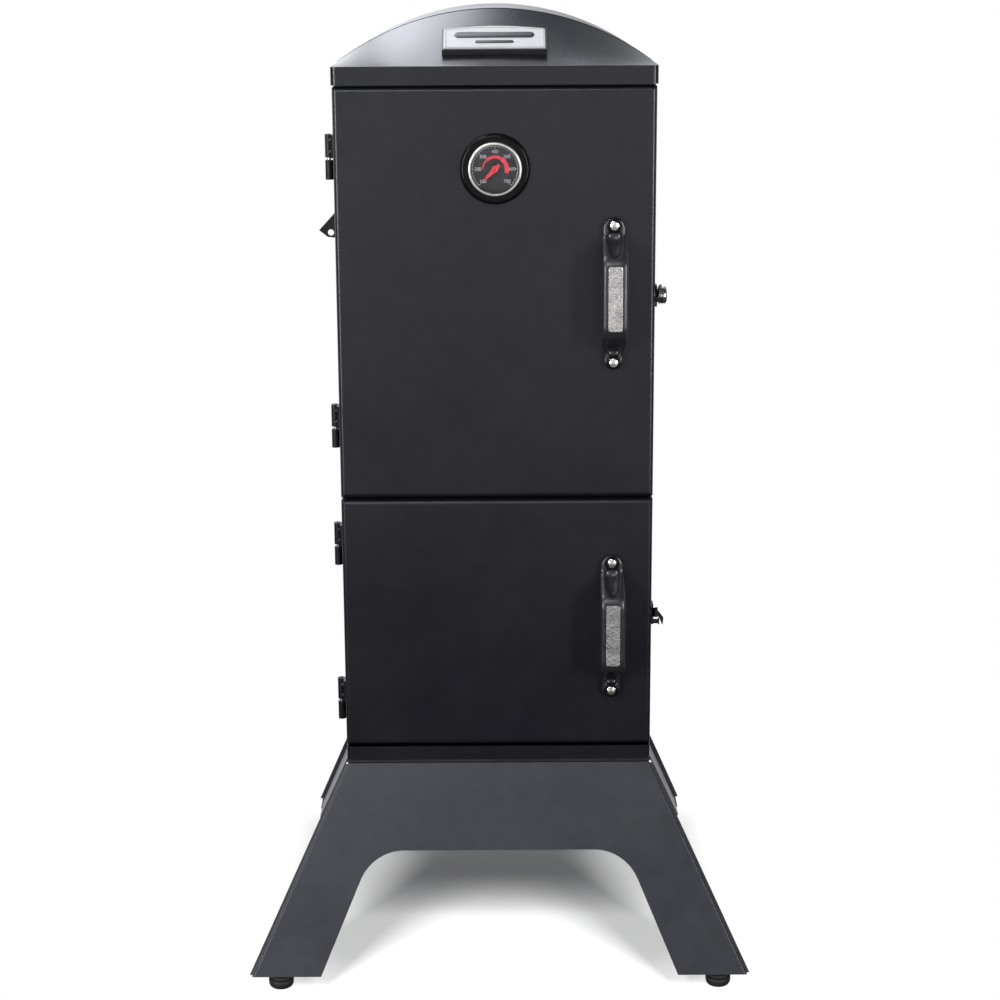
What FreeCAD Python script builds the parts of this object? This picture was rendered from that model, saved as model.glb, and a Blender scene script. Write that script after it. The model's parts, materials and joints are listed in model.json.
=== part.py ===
"""Vertical water smoker: a two-door cabinet on a flared sheet-metal base.

Millimetres, +Z up, the doors face -Y.  The origin is on the floor, under the middle of the
whole object's box.  Every size is a cell of the spreadsheet or is worked out from the cells.
"""
import FreeCAD
import Part
import Sketcher
import math
import os

os.makedirs("parts", exist_ok=True)
doc = FreeCAD.newDocument("VerticalWaterSmoker")
sheet = doc.addObject("Spreadsheet::Sheet", "Dims")

DIMENSIONS = [
    ("width", 406, "width of the doors and the base pan"),
    ("door_front", -188, "y of the doors' outer faces"),
    ("frame_front", -161, "y of the face that the doors close on"),
    ("back", 190, "y of the cabinet's rear wall, outside"),
    ("skin", 1.5, "sheet thickness of the cabinet and doors"),
    ("liner_skin", 1.2, "sheet thickness of the liner and pans"),
    ("wall_gap", 22, "from the shell's outside to the liner's outside"),
    ("fit_gap", 0.3, "gap between pieces that move past each other"),
    ("pan_low", 277.6, "underside of the base pan"),
    ("pan_high", 296, "rim of the base pan"),
    ("lower_low", 299, "lower door, bottom edge"),
    ("lower_high", 635.4, "lower door, top edge"),
    ("upper_low", 639.4, "upper door, bottom edge"),
    ("upper_high", 1164.4, "upper door, top edge"),
    ("band_low", 1167, "roof band, bottom edge"),
    ("band_high", 1190, "roof band, top edge"),
    ("band_lip", 1.5, "how far the roof band stands out past the doors"),
    ("roof_rise", 68, "height of the roof's arch above its band"),
    ("roof_setback", 100, "depth of the roof's sloping front"),
    ("corner", 7, "radius of the roof's and pan's upright corners"),
    ("door_depth", 22, "depth of a door's folded skin"),
    ("door_round", 5.5, "outer radius of a door's folded edges"),
    ("gasket_inset", 5, "from a door's edge to its gasket"),
    ("gasket_width", 8, "width of the rope gasket"),
    ("plug_height", 5, "how far a door's inner panel stands into the opening"),
    ("plug_inset", 32, "from a door's edge to its raised inner panel"),
    ("divider", 15, "half height of the rail between the two openings"),
    ("hinge_x", -209.5, "x of the door hinges' axis"),
    ("hinge_y", -164, "y of the door hinges' axis"),
    ("knuckle", 5, "hinge knuckle radius"),
    ("hinge_tall", 57, "height of one hinge"),
    ("knuckle_low", 24.5, "height of a hinge's lower knuckle"),
    ("knuckle_gap", 3.5, "gap between a hinge's knuckles"),
    ("pin", 2.4, "hinge pin radius"),
    ("pin_play", 0.05, "radial clearance of the running pins"),
    ("leaf_long", 17, "length of a hinge leaf along the wall"),
    ("leaf", 3, "hinge leaf thickness"),
    ("hinge_a", 1049, "bottom of the topmost hinge"),
    ("hinge_b", 702, "bottom of the second hinge"),
    ("hinge_c", 543.5, "bottom of the third hinge"),
    ("hinge_d", 329, "bottom of the lowest hinge"),
    ("handle_x", 150, "x of the handles"),
    ("handle_upper", 905, "height of the upper handle's middle"),
    ("handle_lower", 464.5, "height of the lower handle's middle"),
    ("handle_half", 97, "half the height of a handle"),
    ("handle_out", 50, "how far a handle stands off its door"),
    ("handle_wide", 31, "width of a handle"),
    ("handle_foot", 18, "length of a handle's foot"),
    ("handle_rise", 47, "from a handle's end to where its grip starts"),
    ("handle_under", 11, "how much longer the underside of a foot is"),
    ("handle_inner", 8, "how much sooner the underside reaches the grip"),
    ("scoop_drop", 32, "from a handle's end to its scoop's middle"),
    ("handle_thick", 11, "thickness of a handle's strap"),
    ("bolt_half", 87.5, "half the spacing of a handle's bolts"),
    ("bolt_head", 6.5, "radius of a handle bolt's head"),
    ("bolt", 3, "radius of a handle bolt's shank"),
    ("grip_half", 41, "half the length of a handle's metal insert"),
    ("grip_wide", 18, "width of a handle's metal insert"),
    ("gauge_drop", 101, "from the upper door's top edge to the thermometer's middle"),
    ("bezel", 44.5, "outer radius of the thermometer's bezel"),
    ("ring", 34, "outer radius of the thermometer's ring"),
    ("dial", 30.5, "radius of the thermometer's face"),
    ("gauge_out", 11, "how far the thermometer stands off the door"),
    ("bezel_out", 6, "how far the bezel stands off the door"),
    ("probe_long", 45, "length of the thermometer's probe"),
    ("stem", 6, "radius of the thermometer's threaded stem"),
    ("probe", 3, "radius of the thermometer's probe"),
    ("lean_out", 125, "how far the front panel leans out from top to bottom"),
    ("leg_low", 22.3, "height of the base panels' bottom edges"),
    ("panel_top", 207, "front panel, half width at the top"),
    ("panel_low", 330.3, "front panel with its lips, half width at the slope's foot"),
    ("panel_skin", 2, "thickness of the base panels"),
    ("panel_return", 50, "depth of the front panel's folded sides"),
    ("panel_gap", 5, "shadow gap between the base pan and the front panel"),
    ("panel_round", 4, "radius of the front panel's folded edges"),
    ("panel_lip", 4, "how far the front panel's rear lip shows past its sides"),
    ("lip_back", 6, "from the front panel's face back to its lip"),
    ("arch_drop", 116, "from the front panel's top edge down to its arch"),
    ("arch_top", 168, "front arch, half width at the top"),
    ("arch_low", 235, "front arch, half width at the bottom"),
    ("arch_round", 62, "radius of the arches' corners"),
    ("leg_top", 178, "side panels, distance from the middle at the top"),
    ("leg_foot", 279, "side panels, distance from the middle at the bottom"),
    ("side_front_top", -168, "side panel, front edge at the top"),
    ("side_front_low", -296, "side panel, front edge at the bottom"),
    ("side_back_top", 185, "side panel, rear edge at the top"),
    ("side_back_low", 313, "side panel, rear edge at the bottom"),
    ("side_flange", 5.5, "width of the side panels' rear flanges"),
    ("side_leg", 76, "width of a side panel's leg at the bottom"),
    ("side_knee", 40, "width of a side panel's leg at the top of its arch"),
    ("foot_x", 289, "x of the front feet"),
    ("foot_rear_x", 262, "x of the rear feet"),
    ("foot_y", 291, "y of the feet"),
    ("foot", 16.5, "radius of a foot"),
    ("foot_neck", 4.5, "height of a foot's neck"),
    ("foot_plate", 18, "half width of a foot plate"),
    ("badge_half", 65.5, "half the width of the badge"),
    ("badge_tall", 50, "height of the badge up the slope"),
    ("badge_start", 24, "from the roof band up the slope to the badge"),
    ("badge_thick", 8, "how far the badge stands off the roof"),
    ("badge_sink", 4, "how far the badge's backing sits in the curve of the roof"),
    ("vent_y", -85, "y of the exhaust damper's pivot"),
    ("vent_z", 985, "height of the exhaust damper's pivot"),
    ("intake_z", 400, "height of the intake damper's pivot"),
    ("vent", 45, "radius of a damper's disc"),
    ("vent_hole", 11, "radius of a damper's holes"),
    ("vent_circle", 26, "radius of the circle that a damper's holes are on"),
    ("collar", 40, "inner radius of a vent collar"),
    ("damper_gap", 0.4, "gap between a damper and its wall"),
    ("damper_thick", 2, "thickness of a damper"),
    ("tab_out", 24.5, "how far a damper's tab stands out"),
    ("tab_rise", 20, "height of a damper's tab above its pivot"),
    ("tab_drop", 14, "depth of a damper's tab below its pivot"),
    ("tab_hole", 4, "radius of the hole in a damper's tab"),
    ("rivet", 3, "radius of a damper's rivet"),
    ("washer", 2, "thickness of a rivet's heads"),
    ("latch_y", -137, "y of the latches' pivots"),
    ("latch_upper", 895, "height of the upper latch's pivot"),
    ("latch_lower", 466, "height of the lower latch's pivot"),
    ("latch_knob", 12, "radius of the upper latch's knob"),
    ("latch_knob_tall", 10, "height of the upper latch's knob"),
    ("stud_y", -176, "y of the latches' studs"),
    ("stud", 3, "radius of a latch stud"),
    ("shelf_front", -140, "y of the shelves' front edges"),
    ("shelf_back", 158, "y of the shelves' rear edges"),
    ("post", 14, "width of the runner frames' posts"),
    ("pan_inset", 6, "from a shelf's edge to a hung pan"),
    ("pan_rim", 3, "width of a hung pan's front and rear rims"),
    ("pan_half", 152, "half width of the water pan and the basket"),
    ("water_depth", 58, "depth of the water pan"),
    ("coal_depth", 70, "depth of the charcoal basket"),
    ("ash_half", 158, "half width of the ash pan"),
    ("ash_depth", 52, "depth of the ash pan"),
    ("runner", 14, "width of the shelf runners"),
    ("grid_half", 176, "half width of a cooking grid"),
    ("grid_wire", 2.5, "radius of a cooking grid's rods"),
    ("grid_frame", 3.5, "half thickness of a cooking grid's frame"),
    ("grid_pitch", 18, "spacing of a cooking grid's rods"),
    ("grid_top", 1110, "height of the highest shelf"),
    ("grid_step", 95, "spacing of the four shelves"),
    ("water_z", 722, "height of the water pan's runner"),
    ("coal_z", 505, "height of the charcoal basket's runner"),
    ("ash_z", 395, "height of the ash pan's runner"),
]
LOWER, UPPER = "lower", "upper"
LEFT, RIGHT = "left", "right"


class Size:
    """A number together with the spreadsheet expression that gives it."""

    def __init__(self, value, text):
        self.value = float(value)
        self.text = text

    def __add__(self, other):
        other = as_size(other)
        return Size(self.value + other.value, f"({self.text} + {other.text})")

    def __sub__(self, other):
        other = as_size(other)
        return Size(self.value - other.value, f"({self.text} - {other.text})")

    def __mul__(self, other):
        other = as_size(other)
        return Size(self.value * other.value, f"({self.text} * {other.text})")

    def __truediv__(self, other):
        other = as_size(other)
        return Size(self.value / other.value, f"({self.text} / {other.text})")

    def __radd__(self, other):
        return as_size(other) + self

    def __rsub__(self, other):
        return as_size(other) - self

    def __rmul__(self, other):
        return as_size(other) * self

    def __neg__(self):
        return Size(-self.value, f"(0 - {self.text})")


def as_size(value):
    return value if isinstance(value, Size) else Size(value, repr(float(value)))


def length_of(a, b):
    """The hypotenuse of two sizes."""
    return Size(math.hypot(a.value, b.value), f"sqrt({a.text} * {a.text} + {b.text} * {b.text})")


def fill_sheet():
    sizes = {}
    for row, (alias, value, meaning) in enumerate(DIMENSIONS, start=1):
        sheet.set(f"A{row}", meaning)
        sheet.set(f"B{row}", str(value))
        sheet.setAlias(f"B{row}", alias)
        sizes[alias] = Size(value, f"Dims.{alias}")
    doc.recompute()
    return sizes


class Names(dict):
    __getattr__ = dict.__getitem__


D = Names(fill_sheet())
parts = []


# ---- drawing helpers ------------------------------------------------------------------

def rect(low_a, high_a, low_b, high_b):
    return [(low_a, low_b), (high_a, low_b), (high_a, high_b), (low_a, high_b)]


def circle(a, b, radius):
    return (a, b, radius)


def bound(sketch, index, size):
    sketch.setExpression(f"Constraints[{index}]", as_size(size).text)


def fix_point(sketch, line, point):
    """Hold a line's first point at its distances from the sketch's origin."""
    for kind, value in zip(("DistanceX", "DistanceY"), point):
        number = as_size(value).value
        index = sketch.addConstraint(Sketcher.Constraint(kind, -1, 1, line, 1, number))
        bound(sketch, index, value)


def draw_polygon(sketch, points):
    corners = [FreeCAD.Vector(as_size(a).value, as_size(b).value, 0) for a, b in points]
    lines = []
    for start, end in zip(corners, corners[1:] + corners[:1]):
        lines.append(sketch.addGeometry(Part.LineSegment(start, end), False))
    for this, following in zip(lines, lines[1:] + lines[:1]):
        sketch.addConstraint(Sketcher.Constraint("Coincident", this, 2, following, 1))
    for line, point in zip(lines, points):
        fix_point(sketch, line, point)


def draw_circle(sketch, a, b, radius):
    centre = FreeCAD.Vector(as_size(a).value, as_size(b).value, 0)
    normal = FreeCAD.Vector(0, 0, 1)
    number = as_size(radius).value
    shape = sketch.addGeometry(Part.Circle(centre, normal, number), False)
    for kind, value in zip(("DistanceX", "DistanceY"), (a, b)):
        at = as_size(value).value
        index = sketch.addConstraint(Sketcher.Constraint(kind, -1, 1, shape, 3, at))
        bound(sketch, index, value)
    index = sketch.addConstraint(Sketcher.Constraint("Radius", shape, number))
    bound(sketch, index, radius)


def origin_plane(body, plane):
    for feature in body.Origin.OriginFeatures:
        if feature.Role == f"{plane}_Plane":
            return feature
    raise LookupError(plane)


def new_body(name):
    body = doc.addObject("PartDesign::Body", name)
    body.Label = name
    return body


def new_sketch(body, plane, level, loops):
    """A sketch on one of the body's origin planes, moved along the plane's axis to level."""
    sketch = body.newObject("Sketcher::SketchObject", "Sketch")
    sketch.AttachmentSupport = [(origin_plane(body, plane), "")]
    sketch.MapMode = "FlatFace"
    along = -as_size(level) if plane == "XZ" else as_size(level)
    sketch.setExpression("AttachmentOffset.Base.z", along.text)
    for loop in loops:
        if isinstance(loop, tuple):
            draw_circle(sketch, *loop)
        else:
            draw_polygon(sketch, loop)
    return sketch


def pad(body, plane, start, end, loops, taper=0):
    """Add material between two levels of the plane's axis."""
    faces_back = plane == "XZ"
    sketch = new_sketch(body, plane, end if faces_back else start, loops)
    feature = body.newObject("PartDesign::Pad", "Pad")
    feature.Profile = sketch
    feature.setExpression("Length", (as_size(end) - as_size(start)).text)
    feature.TaperAngle = taper
    doc.recompute()
    return feature


def cut(body, plane, start, end, loops, taper=0):
    """Take material away between two levels of the plane's axis."""
    before = body.Shape.Volume
    faces_back = plane == "XZ"
    sketch = new_sketch(body, plane, start if faces_back else end, loops)
    feature = body.newObject("PartDesign::Pocket", "Pocket")
    feature.Profile = sketch
    feature.setExpression("Length", (as_size(end) - as_size(start)).text)
    feature.TaperAngle = taper
    doc.recompute()
    if body.Shape.Volume >= before:
        raise RuntimeError(f"{body.Label}: a pocket took nothing away")
    return feature


def blend_edges(body, radius, choose, kind="Fillet"):
    """Round or bevel the edges that choose(edge) picks."""
    base = body.Tip
    edges = enumerate(base.Shape.Edges, start=1)
    names = [f"Edge{i}" for i, edge in edges if choose(edge)]
    if not names:
        raise RuntimeError(f"{body.Label}: no edge to round")
    feature = body.newObject(f"PartDesign::{kind}", kind)
    feature.Base = (base, names)
    size_name = "Radius" if kind == "Fillet" else "Size"
    feature.setExpression(size_name, as_size(radius).text)
    doc.recompute()
    return feature


def runs_along(edge, axis):
    if edge.Curve.TypeId != "Part::GeomLine":
        return False
    return abs(edge.tangentAt(edge.FirstParameter).dot(axis)) > 0.999


X_AXIS = FreeCAD.Vector(1, 0, 0)
Y_AXIS = FreeCAD.Vector(0, 1, 0)
Z_AXIS = FreeCAD.Vector(0, 0, 1)
NEAR = 0.05


def close_to(number, size):
    return abs(number - as_size(size).value) < NEAR


def keep(item):
    parts.append(item)
    return item


def place(item, at, axis=Z_AXIS, angle=0.0):
    base = FreeCAD.Vector(*[as_size(value).value for value in at])
    item.Placement = FreeCAD.Placement(base, FreeCAD.Rotation(axis, angle))
    return item


def box(name, low, high):
    """A Part box between two corners."""
    item = doc.addObject("Part::Box", name)
    item.Label = name
    for side, axis, start, end in zip(("Length", "Width", "Height"), "xyz", low, high):
        item.setExpression(side, (as_size(end) - as_size(start)).text)
        item.setExpression(f"Placement.Base.{axis}", as_size(start).text)
    return item


def join(name, items):
    item = doc.addObject("Part::MultiFuse", name)
    item.Label = name
    item.Shapes = items
    return item


def group(name, items):
    item = doc.addObject("Part::Compound", name)
    item.Label = name
    item.Links = items
    return item


def linear_pattern(body, feature, axis_role, length, count):
    pattern = body.newObject("PartDesign::LinearPattern", "Pattern")
    pattern.Originals = [feature]
    for axis in body.Origin.OriginFeatures:
        if axis.Role == axis_role:
            pattern.Direction = (axis, [""])
    pattern.setExpression("Length", as_size(length).text)
    pattern.Occurrences = count
    body.Tip = pattern
    doc.recompute()
    return pattern


# ---- cabinet --------------------------------------------------------------------------

HALF = D.width / 2
SHELL_HALF = HALF - 0.5
SHELL_FRONT = D.frame_front + D.skin
LINER_HALF = HALF - D.wall_gap
LINER_IN = LINER_HALF - D.liner_skin
LINER_BACK = D.back - D.wall_gap
CHAMBER_LOW = D.pan_high + D.wall_gap
CHAMBER_HIGH = D.band_low - D.wall_gap
SEAM = (D.lower_high + D.upper_low) / 2


def vent_holes(middle_a, middle_b):
    """The four round holes of a damper, about its pivot."""
    reach = D.vent_circle / math.sqrt(2)
    corners = [(1, 1), (-1, 1), (-1, -1), (1, -1)]
    return [circle(middle_a + reach * a, middle_b + reach * b, D.vent_hole) for a, b in corners]


def cabinet_shell():
    body = new_body("cabinet_shell")
    outline = rect(-SHELL_HALF, SHELL_HALF, SHELL_FRONT, D.back)
    pad(body, "XY", D.pan_high, D.band_low, [outline])
    blend_edges(body, D.corner, lambda e: runs_along(e, Z_AXIS)
                and close_to(e.CenterOfMass.y, D.back))
    inside = SHELL_HALF - D.skin
    hollow = rect(-inside, inside, D.pan_high + D.skin, D.band_low - D.skin)
    cut(body, "XZ", SHELL_FRONT, D.back - D.skin - D.corner, [hollow])
    narrow = inside - D.corner / 2
    deep = rect(-narrow, narrow, D.pan_high + D.skin, D.band_low - D.skin)
    cut(body, "XZ", D.back - D.skin - D.corner, D.back - D.skin, [deep])
    pivot = circle(D.vent_y, D.vent_z, D.rivet)
    cut(body, "YZ", -SHELL_HALF - 1, -SHELL_HALF + 2 * D.skin,
        vent_holes(D.vent_y, D.vent_z) + [pivot])
    pivot = circle(0, D.intake_z, D.rivet)
    cut(body, "XZ", D.back - 2 * D.skin, D.back + 1, vent_holes(as_size(0), D.intake_z) + [pivot])
    return body


def inner_liner():
    body = new_body("inner_liner")
    outline = rect(-LINER_HALF, LINER_HALF, SHELL_FRONT, LINER_BACK)
    pad(body, "XY", CHAMBER_LOW, CHAMBER_HIGH, [outline])
    hollow = rect(-LINER_IN, LINER_IN, CHAMBER_LOW + D.liner_skin, CHAMBER_HIGH - D.liner_skin)
    cut(body, "XZ", SHELL_FRONT, LINER_BACK - D.liner_skin, [hollow])
    cut(body, "YZ", -LINER_HALF - 1, -LINER_HALF + 2 * D.liner_skin,
        [circle(D.vent_y, D.vent_z, D.collar)])
    cut(body, "XZ", LINER_BACK - 2 * D.liner_skin, LINER_BACK + 1,
        [circle(0, D.intake_z, D.collar)])
    return body


def front_frame():
    """The flat face round both openings, with the rail between them."""
    body = new_body("front_frame")
    outline = rect(-SHELL_HALF, SHELL_HALF, D.pan_high, D.band_low)
    lower = rect(-LINER_IN, LINER_IN, CHAMBER_LOW + D.liner_skin, SEAM - D.divider)
    upper = rect(-LINER_IN, LINER_IN, SEAM + D.divider, CHAMBER_HIGH - D.liner_skin)
    pad(body, "XZ", D.frame_front, SHELL_FRONT, [outline, lower, upper])
    return body


def draw_arched(sketch, half, low, high, crown):
    """Three straight sides and an arc over the top, all bound to the sizes."""
    numbers = [as_size(value).value for value in (half, low, high, crown)]
    across, bottom, shoulder, top = numbers
    left_low = FreeCAD.Vector(-across, bottom, 0)
    right_low = FreeCAD.Vector(across, bottom, 0)
    right_high = FreeCAD.Vector(across, shoulder, 0)
    left_high = FreeCAD.Vector(-across, shoulder, 0)
    crown_point = FreeCAD.Vector(0, top, 0)
    sketch.addGeometry(Part.LineSegment(left_low, right_low), False)
    sketch.addGeometry(Part.LineSegment(right_low, right_high), False)
    sketch.addGeometry(Part.Arc(right_high, crown_point, left_high), False)
    sketch.addGeometry(Part.LineSegment(left_high, left_low), False)
    sketch.addConstraint(Sketcher.Constraint("Coincident", 0, 2, 1, 1))
    sketch.addConstraint(Sketcher.Constraint("Coincident", 1, 2, 2, 1))
    sketch.addConstraint(Sketcher.Constraint("Coincident", 2, 2, 3, 1))
    sketch.addConstraint(Sketcher.Constraint("Coincident", 3, 2, 0, 1))
    fix_point(sketch, 0, (-half, low))
    fix_point(sketch, 1, (half, low))
    fix_point(sketch, 3, (-half, high))
    shoulder_row = sketch.addConstraint(Sketcher.Constraint("DistanceY", -1, 1, 2, 1, shoulder))
    bound(sketch, shoulder_row, high)
    across_row = sketch.addConstraint(Sketcher.Constraint("DistanceX", -1, 1, 2, 1, across))
    bound(sketch, across_row, half)
    rise = crown - high
    radius = (half * half + rise * rise) / (2 * rise)
    radius_row = sketch.addConstraint(Sketcher.Constraint("Radius", 2, radius.value))
    bound(sketch, radius_row, radius)


def arched_sketch(body, level, half, low, high, crown):
    sketch = new_sketch(body, "XZ", level, [])
    draw_arched(sketch, half, low, high, crown)
    return sketch


def roof_mass(body, front, back, half, low, high, crown, adding):
    """The roof's form: a straight front edge that sweeps back and up into an arched vault."""
    ridge = D.door_front + D.roof_setback
    loft_kind = "AdditiveLoft" if adding else "SubtractiveLoft"
    edge = new_sketch(body, "XZ", front, [rect(-half, half, low, high)])
    arch = arched_sketch(body, ridge, half, low, high, crown)
    loft = body.newObject(f"PartDesign::{loft_kind}", loft_kind)
    loft.Profile = edge
    loft.Sections = [arch]
    loft.Ruled = True
    doc.recompute()
    rear = arched_sketch(body, back if adding else ridge, half, low, high, crown)
    kind = "Pad" if adding else "Pocket"
    feature = body.newObject(f"PartDesign::{kind}", kind)
    feature.Profile = rear
    feature.setExpression("Length", (back - ridge).text)
    doc.recompute()


def roof_cap():
    body = new_body("roof_cap")
    half = HALF + D.band_lip
    roof_mass(body, D.door_front, D.back, half, D.band_low, D.band_high,
              D.band_high + D.roof_rise, True)
    blend_edges(body, D.corner, lambda e: runs_along(e, Z_AXIS)
                and close_to(e.CenterOfMass.y, D.door_front))
    before = body.Shape.Volume
    inner_half = half - D.skin
    roof_mass(body, D.door_front + D.skin, D.back - D.skin, inner_half, D.band_low - D.skin,
              D.band_high - D.skin, D.band_high + D.roof_rise - D.skin, False)
    if body.Shape.Volume > before / 2:
        raise RuntimeError("the roof is not hollow")
    return body


def base_pan():
    body = new_body("base_pan")
    pad(body, "XY", D.pan_low, D.pan_high, [rect(-HALF, HALF, D.door_front, D.back)])
    blend_edges(body, D.corner, lambda e: runs_along(e, Z_AXIS))
    inside = HALF - D.skin
    inset = D.corner / 2
    cut(body, "XY", D.pan_low + D.skin, D.pan_high,
        [rect(-inside, inside, D.door_front + inset, D.back - inset)])
    return body


def badge():
    """A black backing and a plain bright face, lying on the roof's sloping front."""
    slope = math.degrees(math.atan2(D.roof_rise.value, D.roof_setback.value))
    run = length_of(D.roof_rise, D.roof_setback)
    start_y = D.door_front + D.roof_setback * D.badge_start / run
    start_z = D.band_high + D.roof_rise * D.badge_start / run
    shoulder = D.badge_tall - 7
    made = []
    layers = [("badge_backing", -D.badge_sink, D.badge_thick - 1, 0),
              ("badge_face", D.badge_thick - 1, D.badge_thick, 2)]
    for name, low, high, inset in layers:
        body = new_body(name)
        sketch = new_sketch(body, "XY", low, [])
        draw_arched(sketch, D.badge_half - inset, as_size(inset), shoulder - inset,
                    D.badge_tall - inset)
        feature = body.newObject("PartDesign::Pad", "Pad")
        feature.Profile = sketch
        feature.setExpression("Length", (high - low).text)
        doc.recompute()
        place(body, (0, start_y, start_z), X_AXIS, slope)
        made.append(body)
    return made


def shelf_levels():
    grids = [D.grid_top - D.grid_step * i for i in range(4)]
    return grids + [D.water_z, D.coal_z, D.ash_z]


def runner_frame(side):
    """Two posts and seven runners on one wall of the chamber."""
    sign = -1 if side == LEFT else 1
    body = new_body(f"runner_frame_{side}")
    wall = LINER_IN * sign
    face = wall - D.skin * sign
    reach = wall - D.runner * sign
    post_low = CHAMBER_LOW + D.liner_skin
    across = (wall, face) if side == LEFT else (face, wall)
    front_post = rect(D.shelf_front, D.shelf_front + D.post, post_low, D.grid_top + D.post)
    pad(body, "YZ", across[0], across[1], [front_post])
    for level in shelf_levels():
        low, high = (wall, reach) if side == LEFT else (reach, wall)
        ledge = rect(low, high, D.shelf_front, D.shelf_back)
        pad(body, "XY", level - D.skin, level, [ledge])
    rear_post = rect(D.shelf_back - D.post, D.shelf_back, post_low, D.grid_top + D.post)
    pad(body, "YZ", across[0], across[1], [rear_post])
    return body


def vent_collars():
    """The two short tubes that carry a vent through the hollow wall."""
    left = new_body("exhaust_collar")
    ring = [circle(D.vent_y, D.vent_z, D.collar + D.liner_skin),
            circle(D.vent_y, D.vent_z, D.collar)]
    pad(left, "YZ", -SHELL_HALF + D.skin, -LINER_HALF, ring)
    rear = new_body("intake_collar")
    ring = [circle(0, D.intake_z, D.collar + D.liner_skin), circle(0, D.intake_z, D.collar)]
    pad(rear, "XZ", LINER_BACK, D.back - D.skin, ring)
    return group("vent_collars", [left, rear])


# ---- dampers --------------------------------------------------------------------------

DAMPER_OUTER = -D.damper_gap - D.damper_thick
TAB_LOW_CORNER = (-13.5, -12.6)
TAB_HOLE_AT = (-9.3, -7)
TAB_TIP_DROP = 4


def damper(name, at, turn):
    """A disc with four holes, and a folded tab to turn it by; local -X is outwards."""
    body = new_body(name)
    inner = -D.damper_gap
    outer = DAMPER_OUTER
    zero = as_size(0)
    bore = circle(0, 0, D.rivet + D.pin_play)
    pad(body, "YZ", outer, inner, [circle(0, 0, D.vent)])
    fold = -D.vent - 3
    ear = rect(fold, -D.vent + 12, -D.tab_drop, D.tab_rise)
    pad(body, "YZ", outer, inner, [ear])
    tab = [(outer, -D.tab_drop), (outer, D.tab_rise), (-D.tab_out, -TAB_TIP_DROP), TAB_LOW_CORNER]
    pad(body, "XZ", fold, fold + D.damper_thick, [tab])
    cut(body, "XZ", fold - 1, fold + D.damper_thick + 1, [circle(*TAB_HOLE_AT, D.tab_hole)])
    cut(body, "YZ", outer - 1, inner + 1, vent_holes(zero, zero) + [bore])
    return place(body, at, Z_AXIS, turn)


def damper_rivet(name, at, turn):
    """Head, shank and rear head of a damper's pivot; local -X is outwards."""
    body = new_body(name)
    seat = DAMPER_OUTER - D.fit_gap
    pad(body, "YZ", seat, D.skin + 1, [circle(0, 0, D.rivet)])
    pad(body, "YZ", seat - D.washer, seat, [circle(0, 0, 2 * D.rivet)])
    pad(body, "YZ", D.skin, D.skin + D.washer, [circle(0, 0, 2 * D.rivet)])
    return place(body, at, Z_AXIS, turn)


EXHAUST_AT = (-SHELL_HALF, D.vent_y, D.vent_z)
INTAKE_AT = (as_size(0), D.back, D.intake_z)
REARWARD = -90


def dampers():
    keep(damper("exhaust_damper", EXHAUST_AT, 0))
    keep(damper("intake_damper", INTAKE_AT, REARWARD))
    rivets = [damper_rivet("exhaust_rivet", EXHAUST_AT, 0),
              damper_rivet("intake_rivet", INTAKE_AT, REARWARD)]
    keep(group("damper_rivets", rivets))


# ---- base -----------------------------------------------------------------------------

LEG_FALL = D.pan_low - D.leg_low
PANEL_HIGH = D.pan_low - D.panel_gap
PANEL_FALL = PANEL_HIGH - D.leg_low
FLANGE_DEEP = 26
RISER_SHORT = 1
SIDE_FLANGE_WIDE = 32
SIDE_FLANGE_FRONT = 8
SIDE_FLANGE_BACK = 2


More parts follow.
